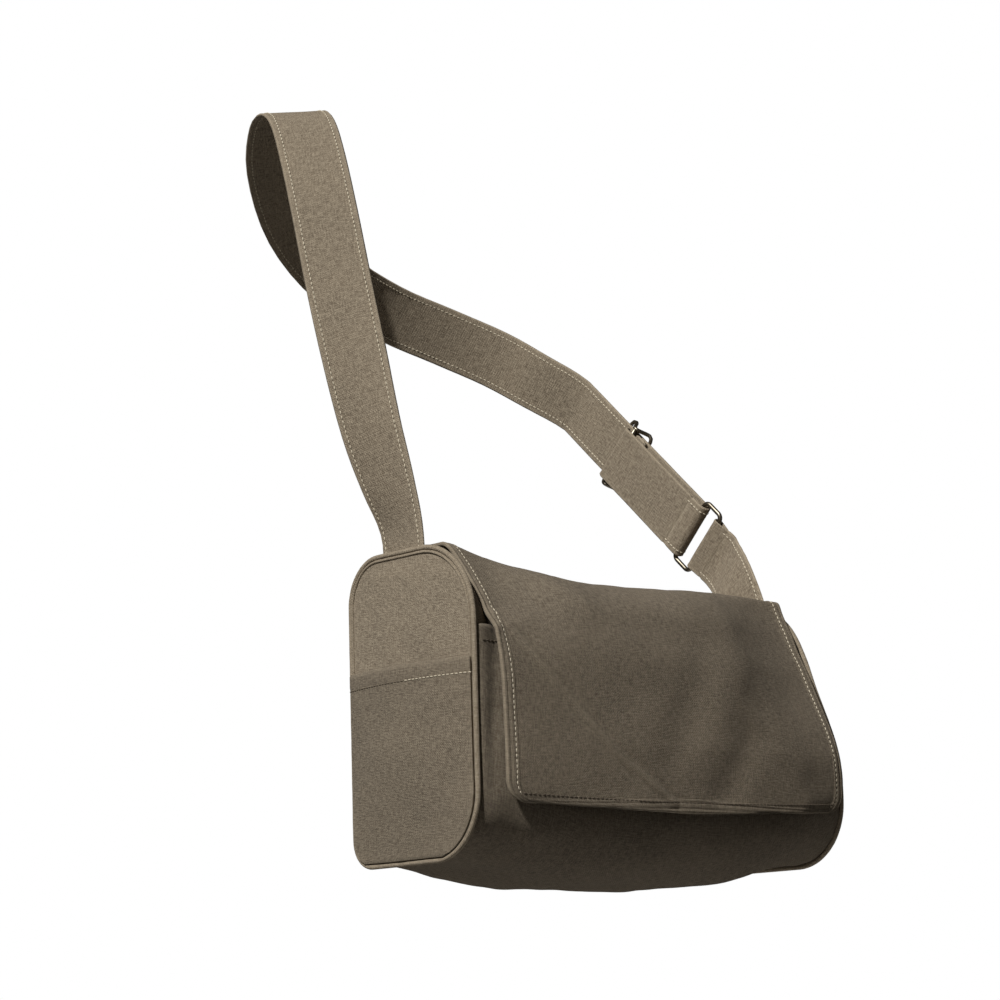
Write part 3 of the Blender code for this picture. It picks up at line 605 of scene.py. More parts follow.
def stitchAlong(grid, normal, cells, body, pale=True, lift=0.00015):
    # keeps a line of stitches that follows grid cells, a little above the cloth
    path = [grid[i, j] + normal[i, j] * lift for i, j in cells]
    (paleStitches if pale else darkStitches).setdefault(body, []).append(path)


def follow(x, marks, off, puffed=False, settled=True):
    points = [(x, *outline(x, side, at, off, puffed)) for side, at in marks]
    return [settle(*p) for p in points] if settled else points


def nearest(values, wanted):
    return int(np.argmin(np.abs(np.array(values) - wanted)))


print("shell")
step = clothShape["step"]
xs = span(-0.1878, 0.1878, step)
marks = [("front", z) for z in span(pocketMouth, 0.100, step)]
marks += [("frontBottom", a) for a in span(0, 90, 4)][1:]
marks += [("bottom", y) for y in span(-0.021, 0.051, 0.004)]
marks += [("backBottom", a) for a in span(90, 0, 9)]
marks += [("back", z) for z in span(0.044, 0.2345, 0.0045)]
grid = []
for x in xs:
    drop = (pocketMouth - mouthHeight(x)) / (pocketMouth - 0.100)
    lowered = [(side, at - drop * max(0.0, at - 0.100)) if side == "front" else (side, at) for side, at in marks]
    grid.append(follow(x, lowered, -0.0002, True))
grid = np.array(grid)
relief = np.zeros(grid.shape[:2])
for i, x in enumerate(xs):
    for j in range(len(marks)):
        p = grid[i, j]
        calm = smooth((0.188 - abs(x)) / 0.03)
        amount = 0.0013 * ripple((p[0], p[1], p[2] * 1.4), 0.046, 1) + 0.0005 * ripple(p, 0.017, 2)
        # short pulls that run out of the end seams
        pull = 0.0013 * ripple((p[0] * 0.3, p[1], p[2]), 0.013, 3) * math.exp(-(0.188 - abs(x)) / 0.025)
        # upright fold between the end seam and the flap
        fold = -0.0022 * math.exp(-((p[0] + 0.1745 - 0.10 * (p[2] - 0.13)) / 0.0050) ** 2)
        fold += 0.0010 * math.exp(-((p[0] + 0.1825) / 0.0030) ** 2)
        fold *= smooth((p[2] - 0.035) / 0.05) if p[1] < -0.03 else 0.0
        # level folds across the sagging bottom
        sag = 0.0016 * ripple((p[0] * 0.25, 0, p[2] - 0.02 * (x / 0.188) ** 2), 0.013, 4)
        sag *= smooth((0.052 - p[2]) / 0.02) * smooth((0.05 - p[1]) / 0.06) * smooth((0.17 - abs(x)) / 0.05)
        relief[i, j] = (amount + pull + sag) * mix(0.35, 1.0, calm) + fold
# painted shade: the whole shell uses the darker canvas copy, for the shade on its lower front under the flap
shell, shellGrid, shellNormal = clothSheet("shellCloth", grid, clothShape["canvas"], frontCanvasPaintedShade, (0, 0, -1),
                                           canvasInside, relief=relief)
attach(shell, "canvas", "bag", "body_shell")
hemRow = nearest([m[1] for m in marks[:30]], pocketMouth - 0.014)
stitchAlong(shellGrid, shellNormal, [(i, hemRow) for i in range(2, len(xs) - 2)], "bag", False)

print("front wall and back facing")
xs = span(-0.1874, 0.1874, step)
marks = [("front", z) for z in span(0.120, 0.150, step)]
marks += [("frontTop", a) for a in span(0, 90, 4)]
grid = []
for x in xs:
    row = []
    for side, at in marks:
        upper = smooth((at - (44 if x > 0 else 62)) / 14) if side == "frontTop" else 0.0
        slim = min(max(x, -mix(0.1874, 0.1804, upper)), mix(0.1874, 0.1804, upper))
        row.append(settle(slim, *outline(x, side, at, -0.0026)))
    grid.append(row)
grid = np.array(grid)
for j in range(len(marks)):
    grid[:, j, 0] = np.linspace(grid[0, j, 0], grid[-1, j, 0], len(xs))
relief = np.array([[0.0007 * ripple(p, 0.03, 4) for p in row] for row in grid])
piece, _, _ = clothSheet("frontWallCloth", grid, clothShape["canvas"], canvas, (0, -1, 0.5),
                                         canvasInside, relief=relief)
attach(piece, "canvas", "bag", "front_wall")
xs = span(-0.1804, 0.1806, step)
marks = [("back", z) for z in span(0.150, 0.185, step)]
marks += [("backTop", a) for a in span(0, 90, 8)] + [("top", 0.0402)]
grid = np.array([[(x, *outline(x, side, min(at, topHeight(x) - backTop) if side == "back" else at, -0.0031))
                  for side, at in marks] for x in xs])
piece, _, _ = clothSheet("backFacingCloth", grid, clothShape["canvas"], canvas, (0, 1, 0.5), canvasInside)
attach(piece, "canvas", "bag", "back_facing")


def edgeDepths(x, z, off=0.0):
    # front and back of the end outline at a height, before it is settled
    top, base = topHeight(x), endBase
    over = max(0.0, z - (top - frontTop))
    under = max(0.0, base + frontBottom - z)
    front = -0.015 - math.sqrt(max(0.0, (frontTop + off) ** 2 - over ** 2)) if over else None
    if front is None:
        front = -0.025 - math.sqrt(max(0.0, (frontBottom + off) ** 2 - under ** 2))
    over = max(0.0, z - (top - backTop))
    under = max(0.0, base + backBottom - z)
    if over:
        back = 0.040 + math.sqrt(max(0.0, (backTop + off) ** 2 - over ** 2))
    else:
        back = 0.055 + math.sqrt(max(0.0, (backBottom + off) ** 2 - under ** 2))
    return front, back


def endLoop(x, off):
    points = [outline(x, "front", z, off) for z in span(0.075, 0.165, 0.005)]
    points += [outline(x, "frontTop", a, off) for a in span(0, 90, 5)]
    points += [outline(x, "top", y, off) for y in span(-0.010, 0.035, 0.005)]
    points += [outline(x, "backTop", a, off) for a in span(90, 0, 6)]
    points += [outline(x, "back", z, off) for z in span(0.190, 0.045, 0.006)]
    points += [outline(x, "backBottom", a, off) for a in span(0, 90, 9)]
    points += [outline(x, "bottom", y, off) for y in span(0.050, -0.020, 0.005)]
    points += [outline(x, "frontBottom", a, off) for a in span(90, 0, 5)]
    return [settle(x, y, z) for y, z in points]


print("end panels and side pockets")
for side, label in ((-1, "Left"), (1, "Right")):
    name = label.lower()
    face = side * halfWidth
    top = topHeight(face)
    share = [0.5 - 0.5 * math.cos(math.pi * t) for t in span(0, 1, 1 / 72)]
    heights = [mix(endBase + 0.0003, top - 0.0003, t) for t in share]
    across = [math.sin(math.pi / 2 * t) for t in span(-1, 1, 1 / 24)]
    rows, relief = [], []
    for z in heights:
        front, back = edgeDepths(face, z)
        row = [settle(face, mix(front, back, (s + 1) / 2), z) for s in across]
        rows.append(row)
        line = []
        for s, p in zip(across, row):
            room = min(1.0, (1 - abs(s)) * 5) * smooth((top - p[2]) / 0.02) * smooth((p[2] - endBase) / 0.02)
            amount = 0.0022 * math.cos(s * math.pi / 2) * smooth((p[2] - 0.15) / 0.05)
            amount += 0.0011 * ripple(p, 0.034, 5 + side) + 0.0005 * ripple(p, 0.012, 7)
            # short pulls from the top back corner
            corner = math.hypot(p[1] - 0.068, p[2] - (top - 0.022))
            amount -= 0.0016 * math.exp(-(corner / 0.009) ** 2) * (1 + math.sin(p[2] * 1400)) * 0.5
            line.append(amount * room)
        relief.append(line)
    panel, _, _ = clothSheet(f"endPanel{label}Cloth", rows, clothShape["canvas"], canvas,
                                               (side, 0, 0), canvasInside, relief=np.array(relief))
    attach(panel, "canvas", "bag", f"end_panel_{name}")

    ring = endLoop(side * (halfWidth - 0.0009), 0.0013)
    ring = [Vector(p) + Vector((side * 0.0002 * ripple(p, 0.006, 9), 0, 0)) for p in ring]
    # the piping's pale value is partly edge wear and partly painted highlight for light bounced onto the seam
    seam = tubeMesh(f"endSeam{label}", ring, 0.0021, 10, canvas, True, (1.0, 0.0, 0.0), wear=0.45)
    attach(seam, "canvas", "bag", f"end_piping_{name}")
    inner = [(side * (halfWidth + 0.0002), y, z) for _, y, z in endLoop(face, -0.0022)]
    second = tubeMesh(f"endSeamInner{label}", inner, 0.0011, 8, canvas, True, (1.0, 0.0, 0.0), wear=0.25)
    attach(second, "canvas", "bag")

    heights = span(endBase + 0.0012, sidePocketTop, 0.0030)
    rows, relief = [], []
    for z in heights:
        front, back = edgeDepths(face, z)
        front, back = front + 0.0008, back - 0.0004
        lift = smooth((z - endBase) / 0.085)
        row = []
        for s in across:
            out = 0.0105 * max(0.0, math.cos(s * math.pi / 2)) ** 0.75 * lift
            row.append(settle(face + side * (0.0024 + out), mix(front, back, (s + 1) / 2), z))
        rows.append(row)
        line = []
        for s, p in zip(across, row):
            room = min(1.0, (1 - abs(s)) * 6)
            amount = 0.0010 * ripple(p, 0.030, 11 + side) + 0.0005 * ripple(p, 0.011, 12)
            hem = 0.0006 * smooth((z - (sidePocketTop - 0.0125)) / 0.0012)
            groove = -0.0004 * math.exp(-((z - (sidePocketTop - 0.0125)) / 0.0010) ** 2)
            line.append(amount * room + hem + groove)
        relief.append(line)
    pocket, pocketGrid, pocketNormal = clothSheet(f"sidePocket{label}Cloth", rows, clothShape["canvas"], pocketCanvas,
                                                  (side, 0, 0), canvasInside, relief=np.array(relief), rimWear=0.5)
    attach(pocket, "canvas", "bag", f"side_pocket_{name}")
    row = nearest(heights, sidePocketTop - 0.0125)
    stitchAlong(pocketGrid, pocketNormal, [(row, j) for j in range(1, 23)], "bag")
    stitchAlong(pocketGrid, pocketNormal, [(row, j) for j in range(23, len(across) - 1)], "bag", False)

print("top ends, lining and inner pocket")
for label, xs in (("Left", span(-0.1804, -0.1505, 0.002)), ("Right", span(0.1685, 0.1812, 0.002))):
    name = label.lower()
    for half, low, high in (("Front", mouthFront, zipY - 0.0042), ("Back", zipY + 0.0042, mouthBack)):
        grid = [[settle(x, y, topHeight(x) - 0.0004 + 0.0002 * ripple((x, y, 0), 0.012, 13))
                 for y in span(low, high, 0.002)] for x in xs]
        piece, _, _ = clothSheet(f"topEnd{label}{half}", grid, clothShape["canvas"], canvas, (0, 0, 1), canvasInside)
        attach(piece, "canvas", "bag")
        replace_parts(piece, f"top_gusset_{name}")
    if label == "Left":
        grid = [[(x, y, topHeight(x) - 0.0006) for y in span(zipY - 0.0042, zipY + 0.0042, 0.0014)]
                for x in span(-0.1804, -0.1600, 0.002)]
        piece, _, _ = clothSheet("topEndLeftBridge", grid, clothShape["canvas"], canvas, (0, 0, 1), canvasInside)
        attach(piece, "canvas", "bag")

xs = span(-0.1795, 0.1795, 0.005)
marks = [("front", z) for z in span(0.185, 0.100, 0.005)]
marks += [("frontBottom", a) for a in span(0, 90, 8)]
marks += [("bottom", y) for y in span(-0.020, 0.050, 0.007)]
marks += [("backBottom", a) for a in span(90, 0, 15)]
marks += [("back", z) for z in span(0.045, 0.185, 0.006)]
grid = np.array([follow(x, marks, -0.0062) for x in xs])
relief = np.array([[-0.0009 * abs(ripple(p, 0.028, 15)) for p in row] for row in grid])
piece, _, _ = clothSheet("liningCloth", grid, clothShape["lining"], liningCloth, (0, 0, -1), relief=relief)
attach(piece, "lining", "bag", "lining_wrap")
for side, label in ((-1, "Left"), (1, "Right")):
    x = side * 0.1802
    depths = [(z, *edgeDepths(x, z, -0.0064)) for z in span(endBase + 0.0065, 0.185, 0.005)]
    columns = min(len(span(front, back, 0.006)) for _, front, back in depths)
    rows = [[settle(x, float(y), z) for y in np.linspace(front, back, columns)] for z, front, back in depths]
    piece, _, _ = clothSheet(f"liningEnd{label}Cloth", rows, clothShape["lining"], liningCloth, (side, 0, 0))
    attach(piece, "lining", "bag", f"lining_end_{label.lower()}")
grid = [[(0.07 * s, 0.0678 - 0.011 * math.cos(s * math.pi / 2) * smooth((z - 0.080) / 0.054), z)
         for s in span(-1, 1, 0.06)] for z in span(0.080, 0.170, 0.004)]
piece, innerGrid, innerNormal = clothSheet("innerPocketCloth", grid, clothShape["lining"], liningCloth, (0, -1, 0))
attach(piece, "lining", "bag", "inner_pocket")
stitchAlong(innerGrid, innerNormal, [(len(innerGrid) - 3, j) for j in range(1, len(innerGrid[0]) - 1)], "bag", False)

print("zipped mouth")
for label, body, near, far, toward in (("Front", "mouth_front", zipY - 0.009, mouthFront, -1),
                                       ("Back", "mouth_back", zipY + 0.009, mouthBack, 1)):
    name = label.lower()
    xs = span(mouthLeft, mouthRight, 0.004)
    ys = span(near, far, 0.0016)
    grid = [[(x, y, topMiddle - 0.0004 + 0.0004 * ripple((x, y, 0), 0.02, 17)) for y in ys] for x in xs]
    piece, bandGrid, bandNormal = clothSheet(f"mouthBand{label}Cloth", grid, clothShape["canvas"], canvas, (0, 0, 1),
                                             canvasInside)
    attach(piece, "canvas", body, f"mouth_band_{name}")
    stitchAlong(bandGrid, bandNormal, [(i, 1) for i in range(1, len(xs) - 1)], body, False)
    edge = zipY + toward * 0.0017
    ys = span(edge, edge + toward * 0.0067, 0.0008)
    grid = [[(x, y, zipZ + 0.0005) for y in ys] for x in xs]
    piece, _, _ = clothSheet(f"zipTape{label}Cloth", grid, 0.0009, tapeCloth, (0, 0, 1), rimWear=0.2)
    attach(piece, "zip_tape", body, f"zip_tape_{name}")
    begin = mouthLeft + (0.0004 if toward < 0 else 0.0012)
    line = [(begin + k * 0.01, zipY + toward * 0.0022, zipZ) for k in range(32)]
    line[-1] = (mouthRight - 0.0008, *line[-1][1:])
    values = {"Pitch": teethLook["pitch"], "Width": teethLook["size"][1], "Depth": teethLook["size"][2],
              "Length": teethLook["size"][0]}
    piece = rowOf(f"zipTeeth{label}", [line], teethTree, values, metal, body)

for node, name, width, body in (("zip_slider", "zipSliderMetal", 0.00025, "slider"),
                                ("zip_pull", "zipPullMetal", 0.00025, "pull"),
                                ("snap_socket_left", "snapSocketLeftMetal", 0.0005, "bag"),
                                ("snap_socket_right", "snapSocketRightMetal", 0.0005, "bag"),
                                ("snap_stud_left", "snapStudLeftMetal", 0.0005, "flap"),
                                ("snap_stud_right", "snapStudRightMetal", 0.0005, "flap")):
    piece = refined(node, name, width, metal)
    attach(piece, "metal", body)

print("flap")
crownLine = ((-0.172, 0.2605), (-0.155, 0.2570), (-0.130, 0.2490), (-0.100, 0.2420), (-0.060, 0.2375),
             (0.0, 0.2365), (0.070, 0.2390), (0.120, 0.2388), (0.150, 0.2380), (0.172, 0.2355))


def flapCrown(x):
    # smoothed height of the flap's top
    at = [p[0] for p in crownLine]
    up = [p[1] for p in crownLine]
    return sum(float(np.interp(x + d, at, up)) for d in (-0.014, -0.007, 0.0, 0.007, 0.014)) / 5


def flapReach(x):
    return mix(0.0695, 0.0610, smooth((x - 0.03) / 0.14))


def flapHug(x, y, z):
    # brings the left of the flap in, close over the body
    share = smooth((-0.085 - x) / 0.070)
    if share == 0 or z < 0.14 or y > -0.018:
        return y
    crown = flapCrown(x)
    cosine = min(1.0, max(0.0, (z - 0.190) / (crown - 0.190)))
    sine = math.sqrt(1 - cosine ** 2)
    close = -0.018 - (0.0265 + 0.0285 * sine ** 4) * sine
    if z < 0.195:
        close = mix(close, y, smooth((0.195 - z) / 0.030))
    return mix(y, min(close, bodyFront(x, z) - 0.0046), share)


def flapFall(x, z):
    near = mix(0.0085, 0.0062, smooth((x - 0.11) / 0.06))
    stand = mix(near, 0.0055, smooth((z - 0.165) / 0.035))
    body = outline(x, "front", min(z, pocketMouth), 0.0, True)[0] - stand
    rise = flapCrown(x) - 0.190
    over = -0.018 - flapReach(x) * math.sqrt(max(0.0, 1 - (max(z - 0.190, 0.0) / rise) ** 2))
    return min(body, over)


# soft folds on the front: two (x, z) ends, how far they stand out, flapHalf width
folds = (((0.052, 0.217), (-0.020, 0.088), -0.0022, 0.020), ((0.085, 0.190), (0.000, 0.085), 0.0010, 0.022),
         ((0.070, 0.112), (0.028, 0.060), -0.0022, 0.018), ((-0.150, 0.160), (-0.060, 0.070), -0.0008, 0.014),
         ((-0.110, 0.235), (-0.030, 0.165), 0.0008, 0.008), ((0.125, 0.150), (0.150, 0.080), -0.0008, 0.016))


def foldAt(x, z):
    total = 0.0
    for (ax, az), (bx, bz), depth, wide in folds:
        dx, dz = bx - ax, bz - az
        t = ((x - ax) * dx + (z - az) * dz) / (dx * dx + dz * dz)
        away = math.hypot(x - ax - min(max(t, 0), 1) * dx, z - az - min(max(t, 0), 1) * dz)
        fade = smooth((t + 0.25) / 0.35) * smooth((1.25 - t) / 0.35)
        total += depth * fade * math.exp(-(away / wide) ** 2)
    return total


creases = ((-0.165, 0.200), (-0.130, 0.152), (-0.075, 0.094), (-0.020, 0.058))


def creaseAt(x, z):
    nearestOne = 1.0
    for (ax, az), (bx, bz) in zip(creases, creases[1:]):
        dx, dz = bx - ax, bz - az
        t = min(max(((x - ax) * dx + (z - az) * dz) / (dx * dx + dz * dz), 0), 1)
        nearestOne = min(nearestOne, math.hypot(x - ax - t * dx, z - az - t * dz))
    return nearestOne


flapHalf, seamLine = 0.172, 0.0765
fine = span(-flapHalf, -flapHalf + 0.012, 0.0007)
xs = fine + span(-flapHalf + 0.015, flapHalf - 0.015, 0.0032) + [-x for x in fine[::-1]]


def flapRow(x):
    crown = flapCrown(x)
    hem = flapShape["hemHeight"] - flapShape["hemSag"] * (1 - (x / flapHalf) ** 2)
    row = [(seamLine, z) for z in span(0.214, 0.232, 0.003)]
    row += [(0.0762, 0.2348), (0.0752, 0.2375), (0.0730, 0.2396), (0.0695, mix(0.2408, crown, 0.03))]
    row += [(y, mix(0.2408, crown, smooth((0.0695 - y) / 0.046))) for y in span(0.0655, 0.0235, 0.003)]
    row += [(y, crown) for y in span(0.0205, -0.018, 0.0032)]
    last = math.degrees(math.acos((0.205 - 0.190) / (crown - 0.190)))
    for a in span(0, last, 3.2)[1:]:
        turn = math.radians(a)
        row.append((-0.018 - flapReach(x) * math.sin(turn), 0.190 + (crown - 0.190) * math.cos(turn)))
    low = hem + 0.018
    row += [(flapFall(x, z), z) for z in [float(v) for v in np.linspace(0.202, low, 44)]]
    row += [(flapFall(x, z), z) for z in [float(v) for v in np.linspace(low, hem, 24)[1:]]]
    row = [(flapHug(x, y, z), z) for y, z in row]
    first = next(k for k, p in enumerate(row) if p[0] < -0.020)
    for _ in range(45 if x < -0.085 else 20):
        ys = [p[0] for p in row]
        for k in range(first, len(row) - 26):
            if x < -0.085 or 0.155 < row[k][1] < 0.228:
                limit = bodyFront(x, row[k][1]) - 0.0042
                row[k] = (min((ys[k - 1] + 2 * ys[k] + ys[k + 1]) / 4, limit), row[k][1])
    return row


rows = [flapRow(x) for x in xs]
columns = min(len(r) for r in rows)
even = []
for x, row in zip(xs, rows):
    flat = np.array(row)
    if len(flat) != columns:
        far = np.concatenate([[0], np.cumsum(np.linalg.norm(np.diff(flat, axis=0), axis=1))])
        want = np.interp(np.linspace(0, 1, columns), np.linspace(0, 1, len(flat)), far)
        flat = np.stack([np.interp(want, far, flat[:, k]) for k in (0, 1)], axis=1)
    line = []
    for y, z in flat:
        hem = flapShape["hemHeight"] - flapShape["hemSag"] * (1 - (x / flapHalf) ** 2)
        short = max(0.0, flapShape["corner"] - (z - hem)) if y < -0.05 else 0.0
        cutBack = flapShape["corner"] - math.sqrt(max(0.0, flapShape["corner"] ** 2 - short ** 2))
        wide = x * (1 + 0.034 * max(0.0, x) / flapHalf)
        line.append(settle(wide * (flapHalf - cutBack) / flapHalf, y, z, False))
    even.append(line)
grid = np.array(even)
flapThick = 0.0018 + (clothShape["flap"] - 0.0018) * np.clip((0.072 - grid[..., 1]) / 0.012, 0, 1)
down = lengthsAlong(grid, 1)
relief = np.zeros(grid.shape[:2])
wear = np.zeros(grid.shape[:2])
seamAt = flapShape["hemWidth"]
for i, x in enumerate(xs):
    for j in range(columns):
        p = grid[i, j]
        side = flapHalf - abs(x)
        below = down[i, -1] - down[i, j]
        edge = min(side, below)
        amount = 0.0011 * ripple(p, 0.050, 21) + 0.0004 * ripple(p, 0.016, 22)
        if p[1] < 0.02:
            amount += foldAt(p[0], p[2]) * smooth(below / 0.012) * mix(0.5, 1.0, smooth((0.02 - p[1]) / 0.05))
        amount *= smooth(side / 0.012) * 0.75 + 0.25
        hem = 0.0007 * (1 - smooth((edge - seamAt - 0.0010) / 0.0016))
        groove = -0.0007 * math.exp(-((edge - seamAt) / 0.0007) ** 2)
        groove -= 0.0006 * math.exp(-((edge - 0.0026) / 0.0006) ** 2)
        relief[i, j] = amount + (hem + groove) * (1.0 if p[1] < 0.06 else 0.0)
        line = creaseAt(p[0], p[2]) + 0.0012 * ripple(p, 0.008, 23) if p[1] < -0.02 else 1.0
        amount = 0.5 + 0.5 * ripple(p, 0.013, 24)
        relief[i, j] += 0.0010 * math.exp(-(line / 0.0022) ** 2) - 0.0006 * math.exp(-((line - 0.005) / 0.003) ** 2)
        # the pale line along the crease is painted highlight on its ridge together with crease wear; the pale line
        # near the edge is edge wear
        wear[i, j] = max(0.35 * math.exp(-((edge - 0.0040) / 0.0012) ** 2), amount * math.exp(-(line / 0.0017) ** 2))
# painted shade: the flap uses a darker copy of the canvas for the shade on its face turned from the key light
flap, flapGrid, flapNormal = clothSheet("flapCloth", grid, flapThick, flapCanvasPaintedShade, (0, -1, 0.6), canvasInside,
                                        rimWear=0.6, wear=wear, relief=relief)
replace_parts(flap, "flap_panel", "flap_facing")
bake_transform(flap)
seam = nearest([flapHalf + x for x in xs], seamAt)
firstCell = nearest(flapGrid[5, :, 1], 0.055)
middle = len(xs) // 2
lastCell = int(np.argmin(np.abs(down[middle, -1] - down[middle] - seamAt)))
stitchAlong(flapGrid, flapNormal, [(seam, j) for j in range(firstCell, lastCell + 1)], "flap")
stitchAlong(flapGrid, flapNormal, [(len(xs) - 1 - seam, j) for j in range(firstCell, lastCell + 1)], "flap")
stitchAlong(flapGrid, flapNormal, [(i, lastCell) for i in range(seam, len(xs) - seam)], "flap", pale=False)

print("strap")
strapRoute = (
    ((-0.1845, 0.013, 0.205), (-1.0, 0.0, 0.0)),
    ((-0.1845, 0.013, 0.240), (-1.0, 0.0, 0.0)),
    ((-0.1855, 0.014, 0.274), (-1.0, 0.0, 0.0)),
    ((-0.196, 0.017, 0.310), (-0.97, -0.2, 0.1)),
    ((-0.206, 0.024, 0.355), (-0.9, -0.4, 0.1)),
    ((-0.212, 0.035, 0.412), (-0.8, -0.6, 0.1)),
    ((-0.214, 0.050, 0.470), (-0.70, -0.70, 0.2)),
    ((-0.212, 0.069, 0.530), (-0.64, -0.74, 0.3)),
    ((-0.207, 0.091, 0.583), (-0.58, -0.70, 0.45)),
    ((-0.200, 0.114, 0.620), (-0.40, -0.50, 0.75)),
    ((-0.190, 0.142, 0.637), (-0.15, -0.10, 1.0)),
    ((-0.175, 0.180, 0.637), (0.05, 0.15, 1.0)),
    ((-0.145, 0.228, 0.616), (0.25, 0.50, 0.85)),
    ((-0.095, 0.273, 0.582), (0.35, 0.80, 0.5)),
    ((-0.035, 0.299, 0.552), (0.42, 0.87, 0.25)),
    ((0.030, 0.307, 0.530), (0.52, 0.84, 0.15)),
    ((0.085, 0.296, 0.512), (0.68, 0.72, 0.12)),
    ((0.126, 0.274, 0.492), (0.84, 0.52, 0.10)),
    ((0.151, 0.247, 0.469), (0.95, 0.28, 0.08)),
)
tabRoute = (((0.1845, 0.022, 0.190), (1.0, 0.0, 0.0)), ((0.1845, 0.022, 0.225), (1.0, 0.0, 0.0)),
            ((0.1850, 0.037, 0.260), (1.0, 0.02, 0.0)))
ringCentre = Vector((0.188, 0.0915, 0.315))
ringLength, ringHalf, ringRod = 0.022, 0.030, 0.0020
runLevel, returnLevel, adjusterAt = 0.00655, -0.00345, 0.105
strapWidth, returnStart, adjusterTravel = 0.050, 0.0124, 0.060
alongRun = Vector((-0.12, 0.69, 0.71)).normalized()
normalRun = Vector((1.0, 0.10, 0.07))
normalRun = (normalRun - normalRun.dot(alongRun) * alongRun).normalized()
acrossRun = alongRun.cross(normalRun)


def onRun(s, n, w=0.0):
    return ringCentre + s * alongRun + n * normalRun + w * acrossRun


def catmull(points, count):
    points = [2 * points[0] - points[1], *points, 2 * points[-1] - points[-2]]
    curve = []
    for i in range(1, len(points) - 2):
        a, b, c, d = points[i - 1:i + 3]
        for k in range(count):
            t = k / count
            curve.append(0.5 * (2 * b + (c - a) * t + (2 * a - 5 * b + 4 * c - d) * t ** 2
                                + (3 * b - a - 3 * c + d) * t ** 3))
    curve.append(points[-2])
    return curve


def turnAt(s, n, radius, start, end, steps):
    points, facing = [], []
    for k in range(steps + 1):
        a = math.radians(mix(start, end, k / steps))
        outward = math.cos(a) * alongRun + math.sin(a) * normalRun
        points.append(onRun(s, n) + radius * outward)
        facing.append(outward)
    return points, facing


def dense(centres, normals, gap):
    # the same route with points at most a gap apart
    outPoints, outNormals = [centres[0]], [normals[0]]
    for i in range(1, len(centres)):
        pieces = max(1, int(math.ceil((centres[i] - centres[i - 1]).length / gap)))
        for k in range(1, pieces + 1):
            outPoints.append(centres[i - 1].lerp(centres[i], k / pieces))
            outNormals.append(normals[i - 1].lerp(normals[i], k / pieces).normalized())
    return outPoints, outNormals


def crossAxes(centres, normals, i, width):
    ahead = centres[min(i + 1, len(centres) - 1)] - centres[max(i - 1, 0)]
    side = ahead.cross(normals[i]).normalized() * width / 2
    return side, side.cross(ahead).normalized()


def webbing(name, centres, normals, width, thickness, body, node, seed, stitched=True):
    # flat strap along a route, with its outer face along the normals
    across = [math.sin(math.pi / 2 * t) for t in span(-1, 1, 1 / 9)]
    grid = []
    for i, centre in enumerate(centres):
        side, up = crossAxes(centres, normals, i, width)
        out = up * thickness / 2
        grid.append([tuple(centre + side * s + out) for s in across])
    grid = np.array(grid)
    inset = stitchLook["inset"]
    relief = np.zeros(grid.shape[:2])
    for i in range(grid.shape[0]):
        for j, s in enumerate(across):
            edge = width / 2 * (1 - abs(s))
            groove = 0.00025 * math.exp(-((edge - inset) / 0.0012) ** 2)
            relief[i, j] = 0.0002 * ripple(grid[i, j], 0.02, seed) - groove
    wanted = np.array([tuple(n) for n in normals])
    base = normalsOf(grid)
    flip = float((base[:, len(across) // 2] * wanted).sum())
    mean = base.mean(axis=(0, 1)) * (1 if flip > 0 else -1)
    piece, _, _ = clothSheet(name, grid, thickness, canvas, tuple(mean), relief=relief, rimWear=0.75)
    if node:
        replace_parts(piece, node)
    attach(piece, "canvas", body)
    if stitched:
        offset = 1 - 2 * inset / width
        for share in (-offset, offset):
            path, back = [], []
            for i, centre in enumerate(centres):
                side, up = crossAxes(centres, normals, i, width)
                out = up * (thickness / 2 + 0.0001)
                out = out if out.dot(normals[i]) > 0 else -out
                path.append(centre + side * share + out)
                back.append(centre + side * share - out)
            paleStitches.setdefault(body, []).extend([path, back])
    return piece


centres = catmull([Vector(p) for p, _ in strapRoute], 4)
normals = catmull([Vector(n) for _, n in strapRoute], 4)
runStart = onRun(0.180, runLevel)
joining = catmull([centres[-9], centres[-5], centres[-1], runStart, onRun(0.13, runLevel)], 4)
centres += joining[9:12] + [runStart, onRun(0.09, runLevel), onRun(0.004, runLevel)]
normals += [normals[-1].lerp(normalRun, share) for share in (0.3, 0.55, 0.8)] + [normalRun] * 3
turnLevel = (runLevel + returnLevel) / 2
points, facings = turnAt(0.0, turnLevel, (runLevel - returnLevel) / 2, 90, 270, 12)
centres += points
normals += facings
centres.append(onRun(0.012, returnLevel))
normals.append(-normalRun)
centres, normals = dense(centres, normals, 0.005)
webbing("strapCloth", centres, normals, strapWidth, clothShape["strap"], "strap", "strap_long", 31)

points, facings = turnAt(adjusterAt + 0.0040, 0.0, -returnLevel, -90, 90, 12)
centres = [onRun(returnStart, returnLevel), onRun(0.055, returnLevel), *points,
           onRun(adjusterAt - 0.016, -returnLevel)]
normals = [-normalRun, -normalRun, *facings, normalRun]
centres, normals = dense(centres, normals, 0.004)
piece = webbing("strapReturnCloth", centres, normals, strapWidth, clothShape["strap"], "strap", "strap_return", 32,
                False)
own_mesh(piece)

